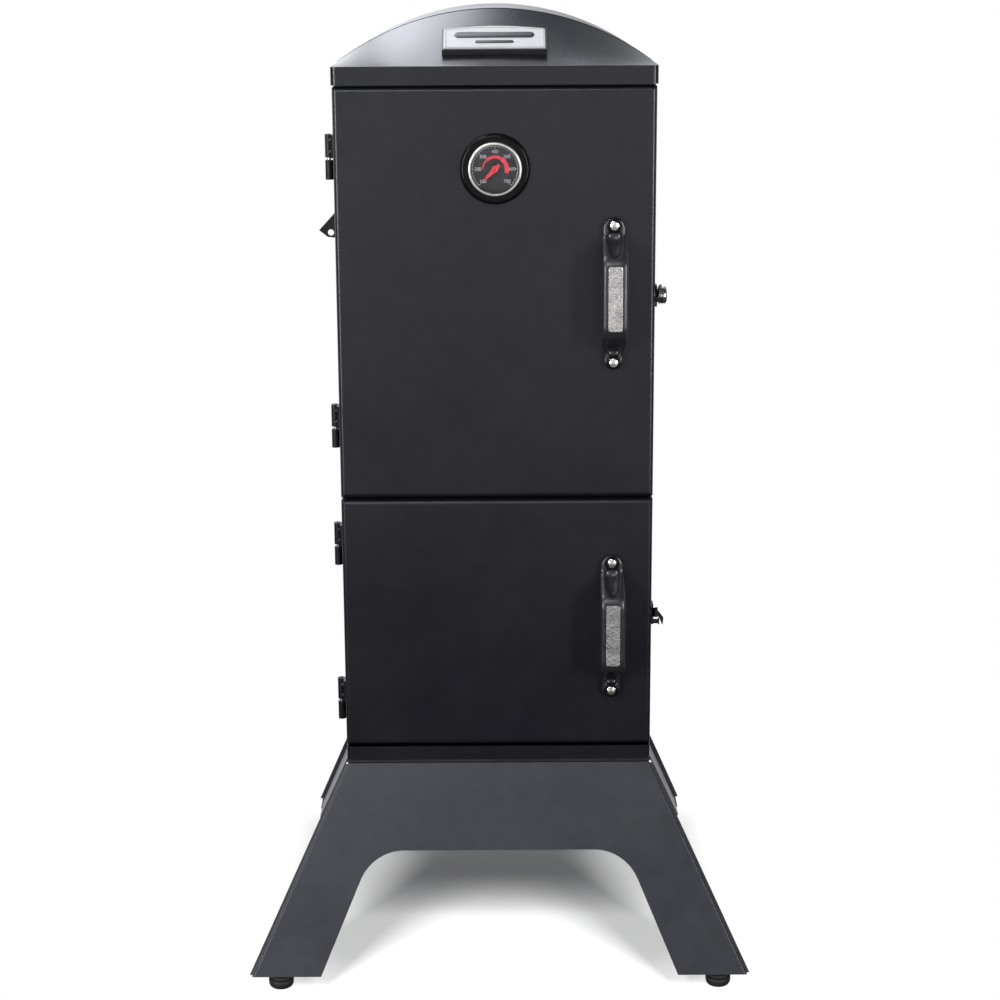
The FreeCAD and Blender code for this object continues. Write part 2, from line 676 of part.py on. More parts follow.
def front_leg_panel():
    """The leaning front panel: flared, arched, with folded sides and a stepped top flange."""
    run = length_of(PANEL_FALL, D.lean_out)
    lean = math.degrees(math.atan2(D.lean_out.value, PANEL_FALL.value))
    body = new_body("front_panel_sheet")
    low_half = D.panel_low - D.panel_lip
    top_half = D.panel_top - D.panel_lip
    outline = [(-low_half, -run), (low_half, -run), (top_half, 0), (-top_half, 0)]
    pad(body, "XY", -D.panel_return, 0, [outline])
    blend_edges(body, D.panel_round, lambda e: close_to(e.CenterOfMass.z, 0)
                and abs(e.CenterOfMass.x) > D.panel_top.value)
    inset = D.panel_skin * 1.1
    inside = [(-low_half + inset, -run), (low_half - inset, -run),
              (top_half - inset, 0), (-top_half + inset, 0)]
    cut(body, "XY", -D.panel_return, -D.panel_skin, [inside])
    for sign in (-1, 1):
        near_low, near_top = (low_half - 1) * sign, (top_half - 1) * sign
        far_low, far_top = D.panel_low * sign, D.panel_top * sign
        strip = [(near_low, -run), (far_low, -run), (far_top, 0), (near_top, 0)]
        pad(body, "XY", -D.lip_back - D.panel_skin, -D.lip_back, [strip])
    arch = [(-D.arch_low, -run - 1), (D.arch_low, -run - 1), (D.arch_top, -D.arch_drop),
            (-D.arch_top, -D.arch_drop)]
    cut(body, "XY", -D.panel_skin - 1, 1, [arch])
    blend_edges(body, D.arch_round, lambda e: runs_along(e, Z_AXIS)
                and close_to(e.CenterOfMass.y, -D.arch_drop))
    rise = D.panel_return * D.lean_out / PANEL_FALL
    below_level = [(-run - 1, 1), (-run, 0), (-run + rise, -D.panel_return),
                   (-run - 1, -D.panel_return - 1)]
    cut(body, "YZ", -D.panel_low - 1, D.panel_low + 1, [below_level])
    place(body, (0, D.door_front, PANEL_HIGH), X_AXIS, 90 - lean)
    reach = D.leg_top - 6
    wide = HALF - RISER_SHORT
    step = D.door_front + D.lip_back
    shelf = box("front_panel_shelf", (-wide, D.door_front + 1, PANEL_HIGH - D.panel_skin),
                (wide, step + D.panel_skin, PANEL_HIGH))
    riser = box("front_panel_riser", (-wide, step, PANEL_HIGH - D.panel_skin),
                (wide, step + D.panel_skin, D.pan_low))
    flange = box("front_panel_flange", (-reach, step, D.pan_low - D.panel_skin),
                 (reach, D.door_front + FLANGE_DEEP, D.pan_low))
    return join("front_leg_panel", [body, shelf, riser, flange])


def foot_across(end):
    return D.foot_x if end == "front" else D.foot_rear_x


def side_leg(side):
    """One splayed side panel: arch, rear flange, top flange and two foot plates."""
    sign = -1 if side == LEFT else 1
    spread = D.leg_foot - D.leg_top
    run = length_of(LEG_FALL, spread)
    splay = math.degrees(math.atan2(spread.value, LEG_FALL.value))
    body = new_body(f"side_sheet_{side}")
    hem = -run + D.panel_skin / 2
    outline = [(D.side_front_low, hem), (D.side_back_low, hem), (D.side_back_top, 0),
               (D.side_front_top, 0)]
    low, high = (as_size(0), D.panel_skin) if side == LEFT else (-D.panel_skin, as_size(0))
    pad(body, "YZ", low, high, [outline])
    arch = [(D.side_front_low + D.side_leg, -run - 1), (D.side_back_low - D.side_leg, -run - 1),
            (D.side_back_top - D.side_knee, -D.arch_drop),
            (D.side_front_top + D.side_knee, -D.arch_drop)]
    cut(body, "YZ", low - 1, high + 1, [arch])
    blend_edges(body, D.arch_round, lambda e: runs_along(e, X_AXIS)
                and close_to(e.CenterOfMass.z, -D.arch_drop))
    edge = D.panel_skin * 1.1
    slant = (D.side_back_low - D.side_back_top) / run
    top = -D.side_flange * 0.6
    corner = D.side_back_top - slant * top
    flap = [(D.side_back_low - edge, hem), (D.side_back_low, hem), (corner, top),
            (corner - edge, top)]
    if side == LEFT:
        pad(body, "YZ", -D.side_flange, high, [flap])
    else:
        pad(body, "YZ", low, D.side_flange, [flap])
    place(body, (D.leg_top * sign, 0, D.pan_low), Y_AXIS, -splay * sign)
    flat = sorted([D.leg_top * sign, (D.leg_top - SIDE_FLANGE_WIDE) * sign],
                  key=lambda s: s.value)
    flange = box(f"side_flange_{side}",
                 (flat[0], D.side_front_top + SIDE_FLANGE_FRONT, D.pan_low - D.panel_skin),
                 (flat[1], D.side_back_top - SIDE_FLANGE_BACK, D.pan_low))
    pieces = [body, flange]
    for end, middle in (("front", -D.foot_y), ("rear", D.foot_y)):
        across = foot_across(end)
        plate_x = sorted([(across - D.foot_plate) * sign, (across + D.foot_plate) * sign],
                         key=lambda s: s.value)
        plate = box(f"foot_plate_{end}_{side}", (plate_x[0], middle - D.foot_plate, D.leg_low),
                    (plate_x[1], middle + D.foot_plate, D.leg_low + D.panel_skin))
        pieces.append(plate)
    return join(f"side_leg_{side}", pieces)


BRACE_TALL = 26
BRACE_FRONT = 42
BRACE_BACK = 12


def rear_brace():
    """A channel under the base pan that ties the side panels' flanges together."""
    body = new_body("rear_brace")
    top = D.pan_low - D.panel_skin
    bottom = top - BRACE_TALL
    reach = D.leg_top - 4
    front = D.side_back_top - BRACE_FRONT
    back = D.side_back_top - BRACE_BACK
    wall = D.panel_skin
    pad(body, "YZ", -reach, reach, [rect(front, back, bottom, top)])
    cut(body, "YZ", -reach, reach, [rect(front + wall, back - wall, bottom, top - wall)])
    return body


FOOT_NECK_IN = 4
FOOT_SHOULDER_ROUND = 2.5
FOOT_TREAD_ROUND = 5


def foot(end, side):
    """A rubber foot: a domed tread under a narrower moulded neck."""
    body = new_body(f"foot_{end}_{side}")
    shoulder = D.leg_low - D.foot_neck
    neck = D.foot - FOOT_NECK_IN
    pad(body, "XY", 0, shoulder, [circle(0, 0, D.foot)])
    pad(body, "XY", shoulder, D.leg_low, [circle(0, 0, neck)])
    rim = 2 * math.pi * D.foot
    blend_edges(body, FOOT_SHOULDER_ROUND, lambda e: close_to(e.CenterOfMass.z, shoulder)
                and close_to(e.Length, rim))
    blend_edges(body, FOOT_TREAD_ROUND, lambda e: close_to(e.CenterOfMass.z, 0)
                and close_to(e.Length, rim))
    across = foot_across(end) if side == RIGHT else -foot_across(end)
    along = -D.foot_y if end == "front" else D.foot_y
    return place(body, (across, along, 0))


# ---- doors ----------------------------------------------------------------------------

DOOR_BACK = D.door_front + D.door_depth
LINER_PLATE = DOOR_BACK + D.liner_skin
GAUGE_Z = D.upper_high - D.gauge_drop
BOLT_SEAT = 3
BOLT_HEAD_TALL = 5
NUT_TALL = 4


def door_limits(which):
    return (D.upper_low, D.upper_high) if which == UPPER else (D.lower_low, D.lower_high)


def handle_height(which):
    return D.handle_upper if which == UPPER else D.handle_lower


def bolt_circles(which, radius):
    middle = handle_height(which)
    return [circle(D.handle_x, middle + D.bolt_half, radius),
            circle(D.handle_x, middle - D.bolt_half, radius)]


def door_skin(which):
    low, high = door_limits(which)
    body = new_body(f"{which}_door_skin")
    pad(body, "XZ", D.door_front, DOOR_BACK, [rect(-HALF, HALF, low, high)])
    blend_edges(body, D.door_round, lambda e: close_to(e.CenterOfMass.y, D.door_front))
    inside = HALF - D.skin
    cut(body, "XZ", D.door_front + D.door_round, DOOR_BACK,
        [rect(-inside, inside, low + D.skin, high - D.skin)])
    flat = HALF - D.door_round
    cut(body, "XZ", D.door_front + D.skin, D.door_front + D.door_round,
        [rect(-flat, flat, low + D.door_round, high - D.door_round)])
    holes = bolt_circles(which, D.bolt + D.pin_play)
    if which == UPPER:
        holes.append(circle(0, GAUGE_Z, D.stem + D.pin_play))
    cut(body, "XZ", D.door_front - 1, D.door_front + 2 * D.skin, holes)
    return body


LINER_SHORT = 1


def door_liner(which):
    """The door's inner sheet, with a raised panel that stands into the opening."""
    low, high = door_limits(which)
    body = new_body(f"{which}_door_liner")
    edge = HALF - LINER_SHORT
    plate = rect(-edge, edge, low + LINER_SHORT, high - LINER_SHORT)
    pad(body, "XZ", DOOR_BACK, LINER_PLATE, [plate])
    inset = D.plug_inset
    panel = HALF - inset
    raised = rect(-panel, panel, low + inset, high - inset)
    pad(body, "XZ", LINER_PLATE, LINER_PLATE + D.plug_height, [raised])
    hollow = panel - D.liner_skin
    inner = rect(-hollow, hollow, low + inset + D.liner_skin, high - inset - D.liner_skin)
    cut(body, "XZ", DOOR_BACK, LINER_PLATE + D.plug_height - D.liner_skin, [inner])
    if which == UPPER:
        cut(body, "XZ", DOOR_BACK, LINER_PLATE + D.plug_height + 1,
            [circle(0, GAUGE_Z, D.stem + D.pin_play)])
    return body


def door_gasket(which):
    low, high = door_limits(which)
    body = new_body(f"{which}_door_gasket")
    first = D.gasket_inset
    second = D.gasket_inset + D.gasket_width
    outer = rect(-HALF + first, HALF - first, low + first, high - first)
    inner = rect(-HALF + second, HALF - second, low + second, high - second)
    pad(body, "XZ", LINER_PLATE, D.frame_front - D.fit_gap, [outer, inner])
    return body


HANDLE_SHOULDER = 22
HANDLE_INNER_ROUND = 14
HANDLE_FOOT_ROUND = 12
HANDLE_END_ROUND = 7
HANDLE_RIM = 2.5
SCOOP_DEPTH = 30
INSERT_PROUD = 0.8
INSERT_SEAT = 2
INSERT_CORNER = 3
INSERT_RIM = 0.6


def door_handle(which):
    """A cast strap: two feet on the door, two slanting legs and a grip that stands off."""
    body = new_body(f"{which}_door_handle")
    out = -D.handle_out
    thick = D.handle_thick
    half = D.handle_half
    foot_end = half - D.handle_foot
    under_end = foot_end - D.handle_under
    grip = half - D.handle_rise
    under_grip = grip - D.handle_inner
    outline = [(0, half), (-thick, half), (-thick, foot_end), (out, grip), (out, -grip),
               (-thick, -foot_end), (-thick, -half), (0, -half), (0, -under_end),
               (out + thick, -under_grip), (out + thick, under_grip), (0, under_end)]
    pad(body, "YZ", -D.handle_wide / 2, D.handle_wide / 2, [outline])

    def at(edge, y, z):
        middle = edge.CenterOfMass
        return runs_along(edge, X_AXIS) and close_to(middle.y, y) and close_to(abs(middle.z), z)

    blend_edges(body, HANDLE_SHOULDER, lambda e: at(e, out, grip))
    blend_edges(body, HANDLE_INNER_ROUND, lambda e: at(e, out + thick, under_grip))
    blend_edges(body, HANDLE_FOOT_ROUND, lambda e: at(e, -thick, foot_end))
    half_wide = D.handle_wide / 2
    blend_edges(body, HANDLE_END_ROUND, lambda e: runs_along(e, Y_AXIS)
                and close_to(abs(e.CenterOfMass.z), half))
    blend_edges(body, HANDLE_RIM, lambda e: close_to(abs(e.CenterOfMass.x), half_wide)
                and e.CenterOfMass.y < -1)
    seat_x = D.grip_wide / 2 + D.fit_gap
    seat_z = D.grip_half + D.fit_gap
    cut(body, "XZ", out - 1, out + INSERT_SEAT, [rect(-seat_x, seat_x, -seat_z, seat_z)])
    scoop = circle(0, half - D.scoop_drop, D.handle_wide / 4)
    cut(body, "XZ", out - 1, out + SCOOP_DEPTH, [scoop])
    cut(body, "XZ", out - 1, 1, [circle(0, D.bolt_half, D.bolt + D.pin_play),
                                 circle(0, -D.bolt_half, D.bolt + D.pin_play)])
    cut(body, "XZ", out - 1, -thick + BOLT_SEAT, [circle(0, D.bolt_half, D.bolt_head + 1),
                                                  circle(0, -D.bolt_half, D.bolt_head + 1)])
    return place(body, (D.handle_x, D.door_front, handle_height(which)))


def handle_insert(which):
    body = new_body(f"{which}_handle_insert")
    seat = D.grip_wide / 2
    out = -D.handle_out
    face = out - INSERT_PROUD
    plate = rect(-seat, seat, -D.grip_half, D.grip_half)
    pad(body, "XZ", face, out + INSERT_SEAT, [plate])
    blend_edges(body, INSERT_CORNER, lambda e: runs_along(e, Y_AXIS))
    blend_edges(body, INSERT_RIM, lambda e: close_to(e.CenterOfMass.y, face))
    return place(body, (D.handle_x, D.door_front, handle_height(which)))


def handle_bolts(which):
    """Two bolts with nuts behind the door skin; each is one solid."""
    bolts = []
    for word, offset in (("top", D.bolt_half), ("bottom", -D.bolt_half)):
        body = new_body(f"{which}_{word}_bolt")
        seat = -D.handle_thick + BOLT_SEAT
        face = seat - BOLT_HEAD_TALL
        pad(body, "XZ", seat, D.skin + NUT_TALL + 0.5, [circle(0, 0, D.bolt)])
        pad(body, "XZ", face, seat, [circle(0, 0, D.bolt_head)])
        blend_edges(body, 2, lambda e: close_to(e.CenterOfMass.y, face))
        corner = D.bolt_head * 0.85
        across = corner * (math.sqrt(3) / 2)
        hexagon = [(corner, 0), (corner / 2, across), (-corner / 2, across), (-corner, 0),
                   (-corner / 2, -across), (corner / 2, -across)]
        pad(body, "XZ", D.skin, D.skin + NUT_TALL, [hexagon])
        place(body, (D.handle_x, D.door_front, handle_height(which) + offset))
        bolts.append(body)
    return group(f"{which}_handle_bolts", bolts)


# ---- hinges ---------------------------------------------------------------------------

HINGE_LOWS = {UPPER: (D.hinge_a, D.hinge_b), LOWER: (D.hinge_c, D.hinge_d)}


def frame_hinge_leaf(name, low):
    """The half that is fixed to the cabinet, with the lower knuckle."""
    body = new_body(name)
    high = low + D.knuckle_low
    flat = rect(-SHELL_HALF - D.leaf, -SHELL_HALF, D.hinge_y, D.hinge_y + D.leaf_long)
    pad(body, "XY", low, high, [flat])
    pad(body, "XY", low, high, [circle(D.hinge_x, D.hinge_y, D.knuckle)])
    cut(body, "XY", low, high, [circle(D.hinge_x, D.hinge_y, D.pin)])
    return body


def door_hinge_leaf(name, low):
    """The half that is fixed to the door, with the upper knuckle."""
    body = new_body(name)
    start = low + D.knuckle_low + D.knuckle_gap
    high = low + D.hinge_tall
    flat = rect(-HALF - D.leaf, -HALF, D.hinge_y - D.leaf_long, D.hinge_y)
    pad(body, "XY", start, high, [flat])
    pad(body, "XY", start, high, [circle(D.hinge_x, D.hinge_y, D.knuckle)])
    cut(body, "XY", start, high, [circle(D.hinge_x, D.hinge_y, D.pin + D.pin_play)])
    return body


def hinge_pin(name, low):
    body = new_body(name)
    pad(body, "XY", low, low + D.hinge_tall - 2, [circle(D.hinge_x, D.hinge_y, D.pin)])
    blend_edges(body, 0.8, lambda e: close_to(e.CenterOfMass.z, low + D.hinge_tall - 2))
    return body


def hinges():
    pins = []
    for which, lows in HINGE_LOWS.items():
        frame_leaves = []
        door_leaves = []
        for word, low in zip(("top", "bottom"), lows):
            frame_leaves.append(frame_hinge_leaf(f"{which}_{word}_frame_leaf", low))
            door_leaves.append(door_hinge_leaf(f"{which}_{word}_door_leaf", low))
            pins.append(hinge_pin(f"{which}_{word}_hinge_pin", low))
        keep(group(f"{which}_frame_hinge_leaves", frame_leaves))
        keep(group(f"{which}_door_hinge_leaves", door_leaves))
    keep(group("hinge_pins", pins))


# ---- latches --------------------------------------------------------------------------

LATCH_REACH = D.latch_y - D.stud_y
HOOK_IN = as_size(6)
HOOK_THICK = as_size(3)
HOOK_OUT = HOOK_IN + HOOK_THICK
PIVOT_HEAD = HOOK_OUT + D.fit_gap
PIVOT_RIM = 2.5
PIVOT_CAP = 2
STUD_RIM = 1.5
LATCH_OPEN = 18
BASE_FRONT = 12
BASE_BACK = 14
BASE_HALF_TALL = 14
BASE_ROUND = 5
KNOB_ROUND = 4
FINGER_HALF = 7
FINGER_OUT = 9
FINGER_DROP = 16
ARM_HALF = 6
ARM_TAIL = 8
NOSE_PAST = 9
NOTCH_DEEP = 9


def latch_height(which):
    return D.latch_upper if which == UPPER else D.latch_lower


def latch_base(which):
    """A block on the cabinet's side with the pivot that the hook turns on."""
    body = new_body(f"{which}_latch_base")
    block = rect(-BASE_FRONT, BASE_BACK, -BASE_HALF_TALL, BASE_HALF_TALL)
    pad(body, "YZ", 0, HOOK_IN - D.fit_gap, [block])
    blend_edges(body, BASE_ROUND, lambda e: runs_along(e, X_AXIS))
    pad(body, "YZ", 0, PIVOT_HEAD, [circle(0, 0, D.stud)])
    pad(body, "YZ", PIVOT_HEAD, PIVOT_HEAD + PIVOT_CAP, [circle(0, 0, D.stud + PIVOT_RIM)])
    return place(body, (SHELL_HALF, D.latch_y, latch_height(which)))


def latch_knob(body):
    """The round knob over the upper hook's pivot, hollowed for the pivot's head."""
    top = HOOK_OUT + D.latch_knob_tall
    pad(body, "YZ", HOOK_OUT - 1, top, [circle(0, 0, D.latch_knob)])
    blend_edges(body, KNOB_ROUND, lambda e: close_to(e.CenterOfMass.x, top))
    room = D.stud + PIVOT_RIM + D.fit_gap
    cut(body, "YZ", HOOK_OUT, PIVOT_HEAD + PIVOT_CAP + D.fit_gap, [circle(0, 0, room)])


def latch_finger(body):
    """The lower hook's bent finger grip, slanting out and down."""
    middle = -LATCH_REACH / 2
    start = HOOK_OUT - 1
    tip = HOOK_OUT + FINGER_OUT
    profile = [(start, ARM_HALF), (tip, -FINGER_HALF), (tip - 1, -FINGER_DROP),
               (tip - 5, -FINGER_HALF), (start, 0)]
    pad(body, "XZ", middle - FINGER_HALF, middle + FINGER_HALF, [profile])


def latch_hook(which):
    """A flat hook that drops over the door's stud, stored raised clear of it."""
    body = new_body(f"{which}_latch_hook")
    nose = -LATCH_REACH - NOSE_PAST
    arm = [(ARM_TAIL, -ARM_HALF), (ARM_TAIL, ARM_HALF), (nose, ARM_HALF), (nose, -ARM_HALF - 1),
           (0, -ARM_HALF)]
    pad(body, "YZ", HOOK_IN, HOOK_OUT, [arm])
    if which == UPPER:
        latch_knob(body)
    else:
        latch_finger(body)
    cut(body, "YZ", HOOK_IN - 1, HOOK_OUT + D.fit_gap, [circle(0, 0, D.stud + D.pin_play)])
    slot = D.stud + 1
    notch = rect(-LATCH_REACH - slot, -LATCH_REACH + slot, -NOTCH_DEEP, D.stud + 0.4)
    cut(body, "YZ", HOOK_IN - 1, HOOK_OUT + 1, [notch])
    return place(body, (SHELL_HALF, D.latch_y, latch_height(which)), X_AXIS, -LATCH_OPEN)


def latch_stud(which):
    body = new_body(f"{which}_latch_stud")
    pad(body, "YZ", 0, PIVOT_HEAD, [circle(0, 0, D.stud)])
    pad(body, "YZ", PIVOT_HEAD, PIVOT_HEAD + STUD_RIM, [circle(0, 0, D.stud + STUD_RIM)])
    return place(body, (HALF, D.stud_y, latch_height(which)))


# ---- thermometer ----------------------------------------------------------------------

LENS_BACK = 3
LENS_THICK = 1.5
DIAL_FRONT = 3
BEZEL_ROUND = 5
RING_ROUND = 2
STEM_PAST = 7
NEEDLE_THICK = 0.8
NEEDLE_HUB = 3.6
NEEDLE_RESTING = 135


def turned(name, start, end, outer, inner=None):
    """A round piece of the thermometer between two distances in front of the door."""
    body = new_body(name)
    loops = [circle(0, GAUGE_Z, outer)]
    if inner is not None:
        loops.append(circle(0, GAUGE_Z, inner))
    pad(body, "XZ", D.door_front - end, D.door_front - start, loops)
    return body


def round_front(body, radius, outer, out):
    face = D.door_front - out
    blend_edges(body, radius, lambda e: close_to(e.CenterOfMass.y, face)
                and close_to(e.Length, 2 * math.pi * as_size(outer).value))


def thermometer():
    fit = D.fit_gap / 2
    zero = as_size(0)
    bezel = turned("thermometer_bezel", zero, D.bezel_out, D.bezel, D.ring + fit)
    round_front(bezel, BEZEL_ROUND, D.bezel, D.bezel_out)
    ring = turned("thermometer_ring", zero, D.gauge_out, D.ring, D.dial + fit)
    round_front(ring, RING_ROUND, D.ring, D.gauge_out)
    dial = turned("thermometer_dial", as_size(1), as_size(DIAL_FRONT), D.dial)
    lens_back = D.gauge_out - LENS_BACK
    lens = turned("thermometer_lens", lens_back, lens_back + LENS_THICK, D.dial)
    stem = turned("thermometer_stem", -D.door_depth - STEM_PAST, as_size(1), D.stem)
    back = D.door_front + D.door_depth + STEM_PAST
    tip = back + D.probe_long
    pad(stem, "XZ", back, tip, [circle(0, GAUGE_Z, D.probe)])
    blend_edges(stem, 2, lambda e: close_to(e.CenterOfMass.y, tip))
    needle = new_body("thermometer_needle")
    point = D.dial * 0.66
    wide, fine, tail = NEEDLE_HUB / 2, NEEDLE_THICK, 6
    blade = [(-wide, -tail), (wide, -tail), (fine, point), (-fine, point)]
    pad(needle, "XZ", -NEEDLE_THICK, 0, [blade])
    pad(needle, "XZ", -2 * NEEDLE_THICK, 0, [circle(0, 0, NEEDLE_HUB)])
    place(needle, (0, D.door_front - DIAL_FRONT - 1, GAUGE_Z), Y_AXIS, -NEEDLE_RESTING)
    for piece in (bezel, ring, dial, lens, stem, needle):
        keep(piece)


# ---- shelves and pans -----------------------------------------------------------------

GRID_RODS = 19
GRID_CLEAR = 2


def cooking_grid(number):
    """A square-bar frame with round rods from front to back, lying on its runners."""
    level = D.grid_top - D.grid_step * (number - 1) + D.fit_gap
    body = new_body(f"cooking_grid_{number}")
    bar = 2 * D.grid_frame
    front, back = D.shelf_front + GRID_CLEAR, D.shelf_back - GRID_CLEAR
    outer = rect(-D.grid_half, D.grid_half, front, back)
    inner = rect(-D.grid_half + bar, D.grid_half - bar, front + bar, back - bar)
    pad(body, "XY", level, level + bar, [outer, inner])
    first = -D.grid_pitch * ((GRID_RODS - 1) / 2)
    rod = pad(body, "XZ", front + D.grid_frame, back - D.grid_frame,
              [circle(first, level + D.grid_frame, D.grid_wire)])
    linear_pattern(body, rod, "X_Axis", -first * 2, GRID_RODS)
    return body


PAN_FRONT = D.shelf_front + D.pan_inset
PAN_BACK = D.shelf_back - D.pan_inset


PAN_SIDE_PLAY = 3.5
WATER_TAPER = -7
ASH_TAPER = -5
PULL_HALF = 60
PULL_DROP = 18


def hung_pan(name, level, half, depth, taper):
    """An open pan whose side flanges lie on the runners."""
    body = new_body(name)
    rest = level + D.fit_gap
    edge = LINER_IN - D.fit_gap - PAN_SIDE_PLAY
    pad(body, "XY", rest, rest + D.liner_skin, [rect(-edge, edge, PAN_FRONT, PAN_BACK)])
    front = PAN_FRONT + D.pan_rim
    back = PAN_BACK - D.pan_rim
    basin = body.newObject("PartDesign::Pad", "Basin")
    basin.Profile = new_sketch(body, "XY", rest, [rect(-half, half, front, back)])
    basin.setExpression("Length", depth.text)
    basin.Reversed = True
    basin.TaperAngle = taper
    doc.recompute()
    wall = D.liner_skin
    inner = rect(-half + wall, half - wall, front + wall, back - wall)
    before = body.Shape.Volume
    hollow = body.newObject("PartDesign::Pocket", "Hollow")
    hollow.Profile = new_sketch(body, "XY", rest + wall, [inner])
    hollow.setExpression("Length", depth.text)
    hollow.TaperAngle = taper
    doc.recompute()
    if body.Shape.Volume >= before:
        raise RuntimeError(f"{name}: the pan is not hollow")
    return body


def water_pan():
    return hung_pan("water_pan", D.water_z, D.pan_half, D.water_depth, WATER_TAPER)


SLOT_HALF = 4
SLOT_FIRST = 126
SLOT_MARGIN = 20
SLOT_COUNT = 13
SIDE_SLOT_FIRST = 24
SIDE_SLOT_REACH = 234
SIDE_SLOT_COUNT = 14
SIDE_SLOT_LOW = 14
SIDE_SLOT_HIGH = 52
SIDE_SLOT_PAST = 8


def charcoal_basket():
    """An open box with air slots through its floor and sides."""
    body = hung_pan("charcoal_basket", D.coal_z, D.pan_half, D.coal_depth, 0)
    low = D.coal_z + D.fit_gap - D.coal_depth
    slot = rect(-SLOT_FIRST - SLOT_HALF, -SLOT_FIRST + SLOT_HALF, PAN_FRONT + SLOT_MARGIN,
                PAN_BACK - SLOT_MARGIN)
    floor_slot = cut(body, "XY", low - 1, low + 2 * D.liner_skin, [slot])
    linear_pattern(body, floor_slot, "X_Axis", 2 * SLOT_FIRST, SLOT_COUNT)
    first = PAN_FRONT + SIDE_SLOT_FIRST
    opening = rect(first, first + 2 * SLOT_HALF, low + SIDE_SLOT_LOW, low + SIDE_SLOT_HIGH)
    reach = D.pan_half + SIDE_SLOT_PAST
    side_slot = cut(body, "YZ", -reach, reach, [opening])
    linear_pattern(body, side_slot, "Y_Axis", SIDE_SLOT_REACH, SIDE_SLOT_COUNT)
    return body


def ash_pan():
    """A deep tray with a folded pull at its front edge."""
    body = hung_pan("ash_pan", D.ash_z, D.ash_half, D.ash_depth, ASH_TAPER)
    rest = D.ash_z + D.fit_gap
    pull = rect(-PULL_HALF, PULL_HALF, rest - PULL_DROP, rest + D.liner_skin)
    pad(body, "XZ", PAN_FRONT - D.pan_rim, PAN_FRONT, [pull])
    return body


# ---- assembly -------------------------------------------------------------------------

def build_all():
    for make in (cabinet_shell, inner_liner, front_frame, roof_cap, base_pan):
        keep(make())
    for piece in badge():
        keep(piece)
    keep(vent_collars())
    dampers()
    keep(front_leg_panel())
    keep(rear_brace())
    for side in (LEFT, RIGHT):
        keep(runner_frame(side))
        keep(side_leg(side))
        keep(foot("front", side))
        keep(foot("rear", side))
    for which in (UPPER, LOWER):
        for make in (door_skin, door_liner, door_gasket, door_handle, handle_insert,
                     handle_bolts, latch_base, latch_hook, latch_stud):
            keep(make(which))
    hinges()
    thermometer()
    for number in (1, 2, 3, 4):
        keep(cooking_grid(number))
    for make in (water_pan, charcoal_basket, ash_pan):
        keep(make())


def check_document():
    for item in doc.Objects:
        if "Invalid" in item.State or "Error" in item.State:
            raise RuntimeError(f"{item.Label}: {item.State}")
    for item in parts:
        if item.Shape.isNull() or not item.Shape.isValid():
            raise RuntimeError(f"{item.Label}: bad shape")


build_all()
doc.recompute()
check_document()
for item in parts:
    item.Shape.exportStep(f"parts/{item.Label}.step")
print(f"{len(parts)} sub-parts written")
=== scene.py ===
"""Looks of the vertical water smoker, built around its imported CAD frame. Metres throughout."""
import bmesh
import bpy
import json
import math
from mathutils import Matrix, Vector

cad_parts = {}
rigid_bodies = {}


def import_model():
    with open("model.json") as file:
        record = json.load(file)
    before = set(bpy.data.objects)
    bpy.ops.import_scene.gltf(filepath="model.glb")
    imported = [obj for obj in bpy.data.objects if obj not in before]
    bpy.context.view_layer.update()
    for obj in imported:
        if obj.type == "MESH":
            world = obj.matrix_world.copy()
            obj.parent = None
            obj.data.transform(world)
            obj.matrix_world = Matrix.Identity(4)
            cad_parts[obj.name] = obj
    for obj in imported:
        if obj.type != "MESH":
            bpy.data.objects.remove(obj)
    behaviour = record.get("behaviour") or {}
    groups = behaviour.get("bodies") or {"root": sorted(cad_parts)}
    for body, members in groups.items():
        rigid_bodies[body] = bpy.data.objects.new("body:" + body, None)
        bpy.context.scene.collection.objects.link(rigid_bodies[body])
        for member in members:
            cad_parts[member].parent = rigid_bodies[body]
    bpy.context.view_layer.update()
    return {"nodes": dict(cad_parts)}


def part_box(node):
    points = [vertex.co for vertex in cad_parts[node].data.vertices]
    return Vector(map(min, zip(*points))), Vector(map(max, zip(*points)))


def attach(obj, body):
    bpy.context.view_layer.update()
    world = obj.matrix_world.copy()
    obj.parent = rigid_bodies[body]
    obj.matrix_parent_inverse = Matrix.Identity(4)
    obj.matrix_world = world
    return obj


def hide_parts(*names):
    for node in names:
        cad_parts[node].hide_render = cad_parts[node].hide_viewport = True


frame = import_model()
nodes = frame["nodes"]
scene = bpy.context.scene

MM = 0.001
TURN = 2 * math.pi
DOORS = ("upper", "lower")


# ---- shader nodes ---------------------------------------------------------------------

def worked_out(tree, operation, first, second):
    """One arithmetic node; each side is an output or a plain number."""
    node = tree.nodes.new("ShaderNodeMath")
    node.operation = operation
    for socket, value in zip(node.inputs, (first, second)):
        if isinstance(value, float):
            socket.default_value = value
        else:
            tree.links.new(value, socket)
    return node.outputs[0]


def ranged(tree, value, span):
    """A clamped straight-line map; span is (from, to, result at from, result at to)."""
    node = tree.nodes.new("ShaderNodeMapRange")
    for socket, number in zip(node.inputs[1:5], span):
        socket.default_value = number
    tree.links.new(value, node.inputs["Value"])
    return node.outputs["Result"]


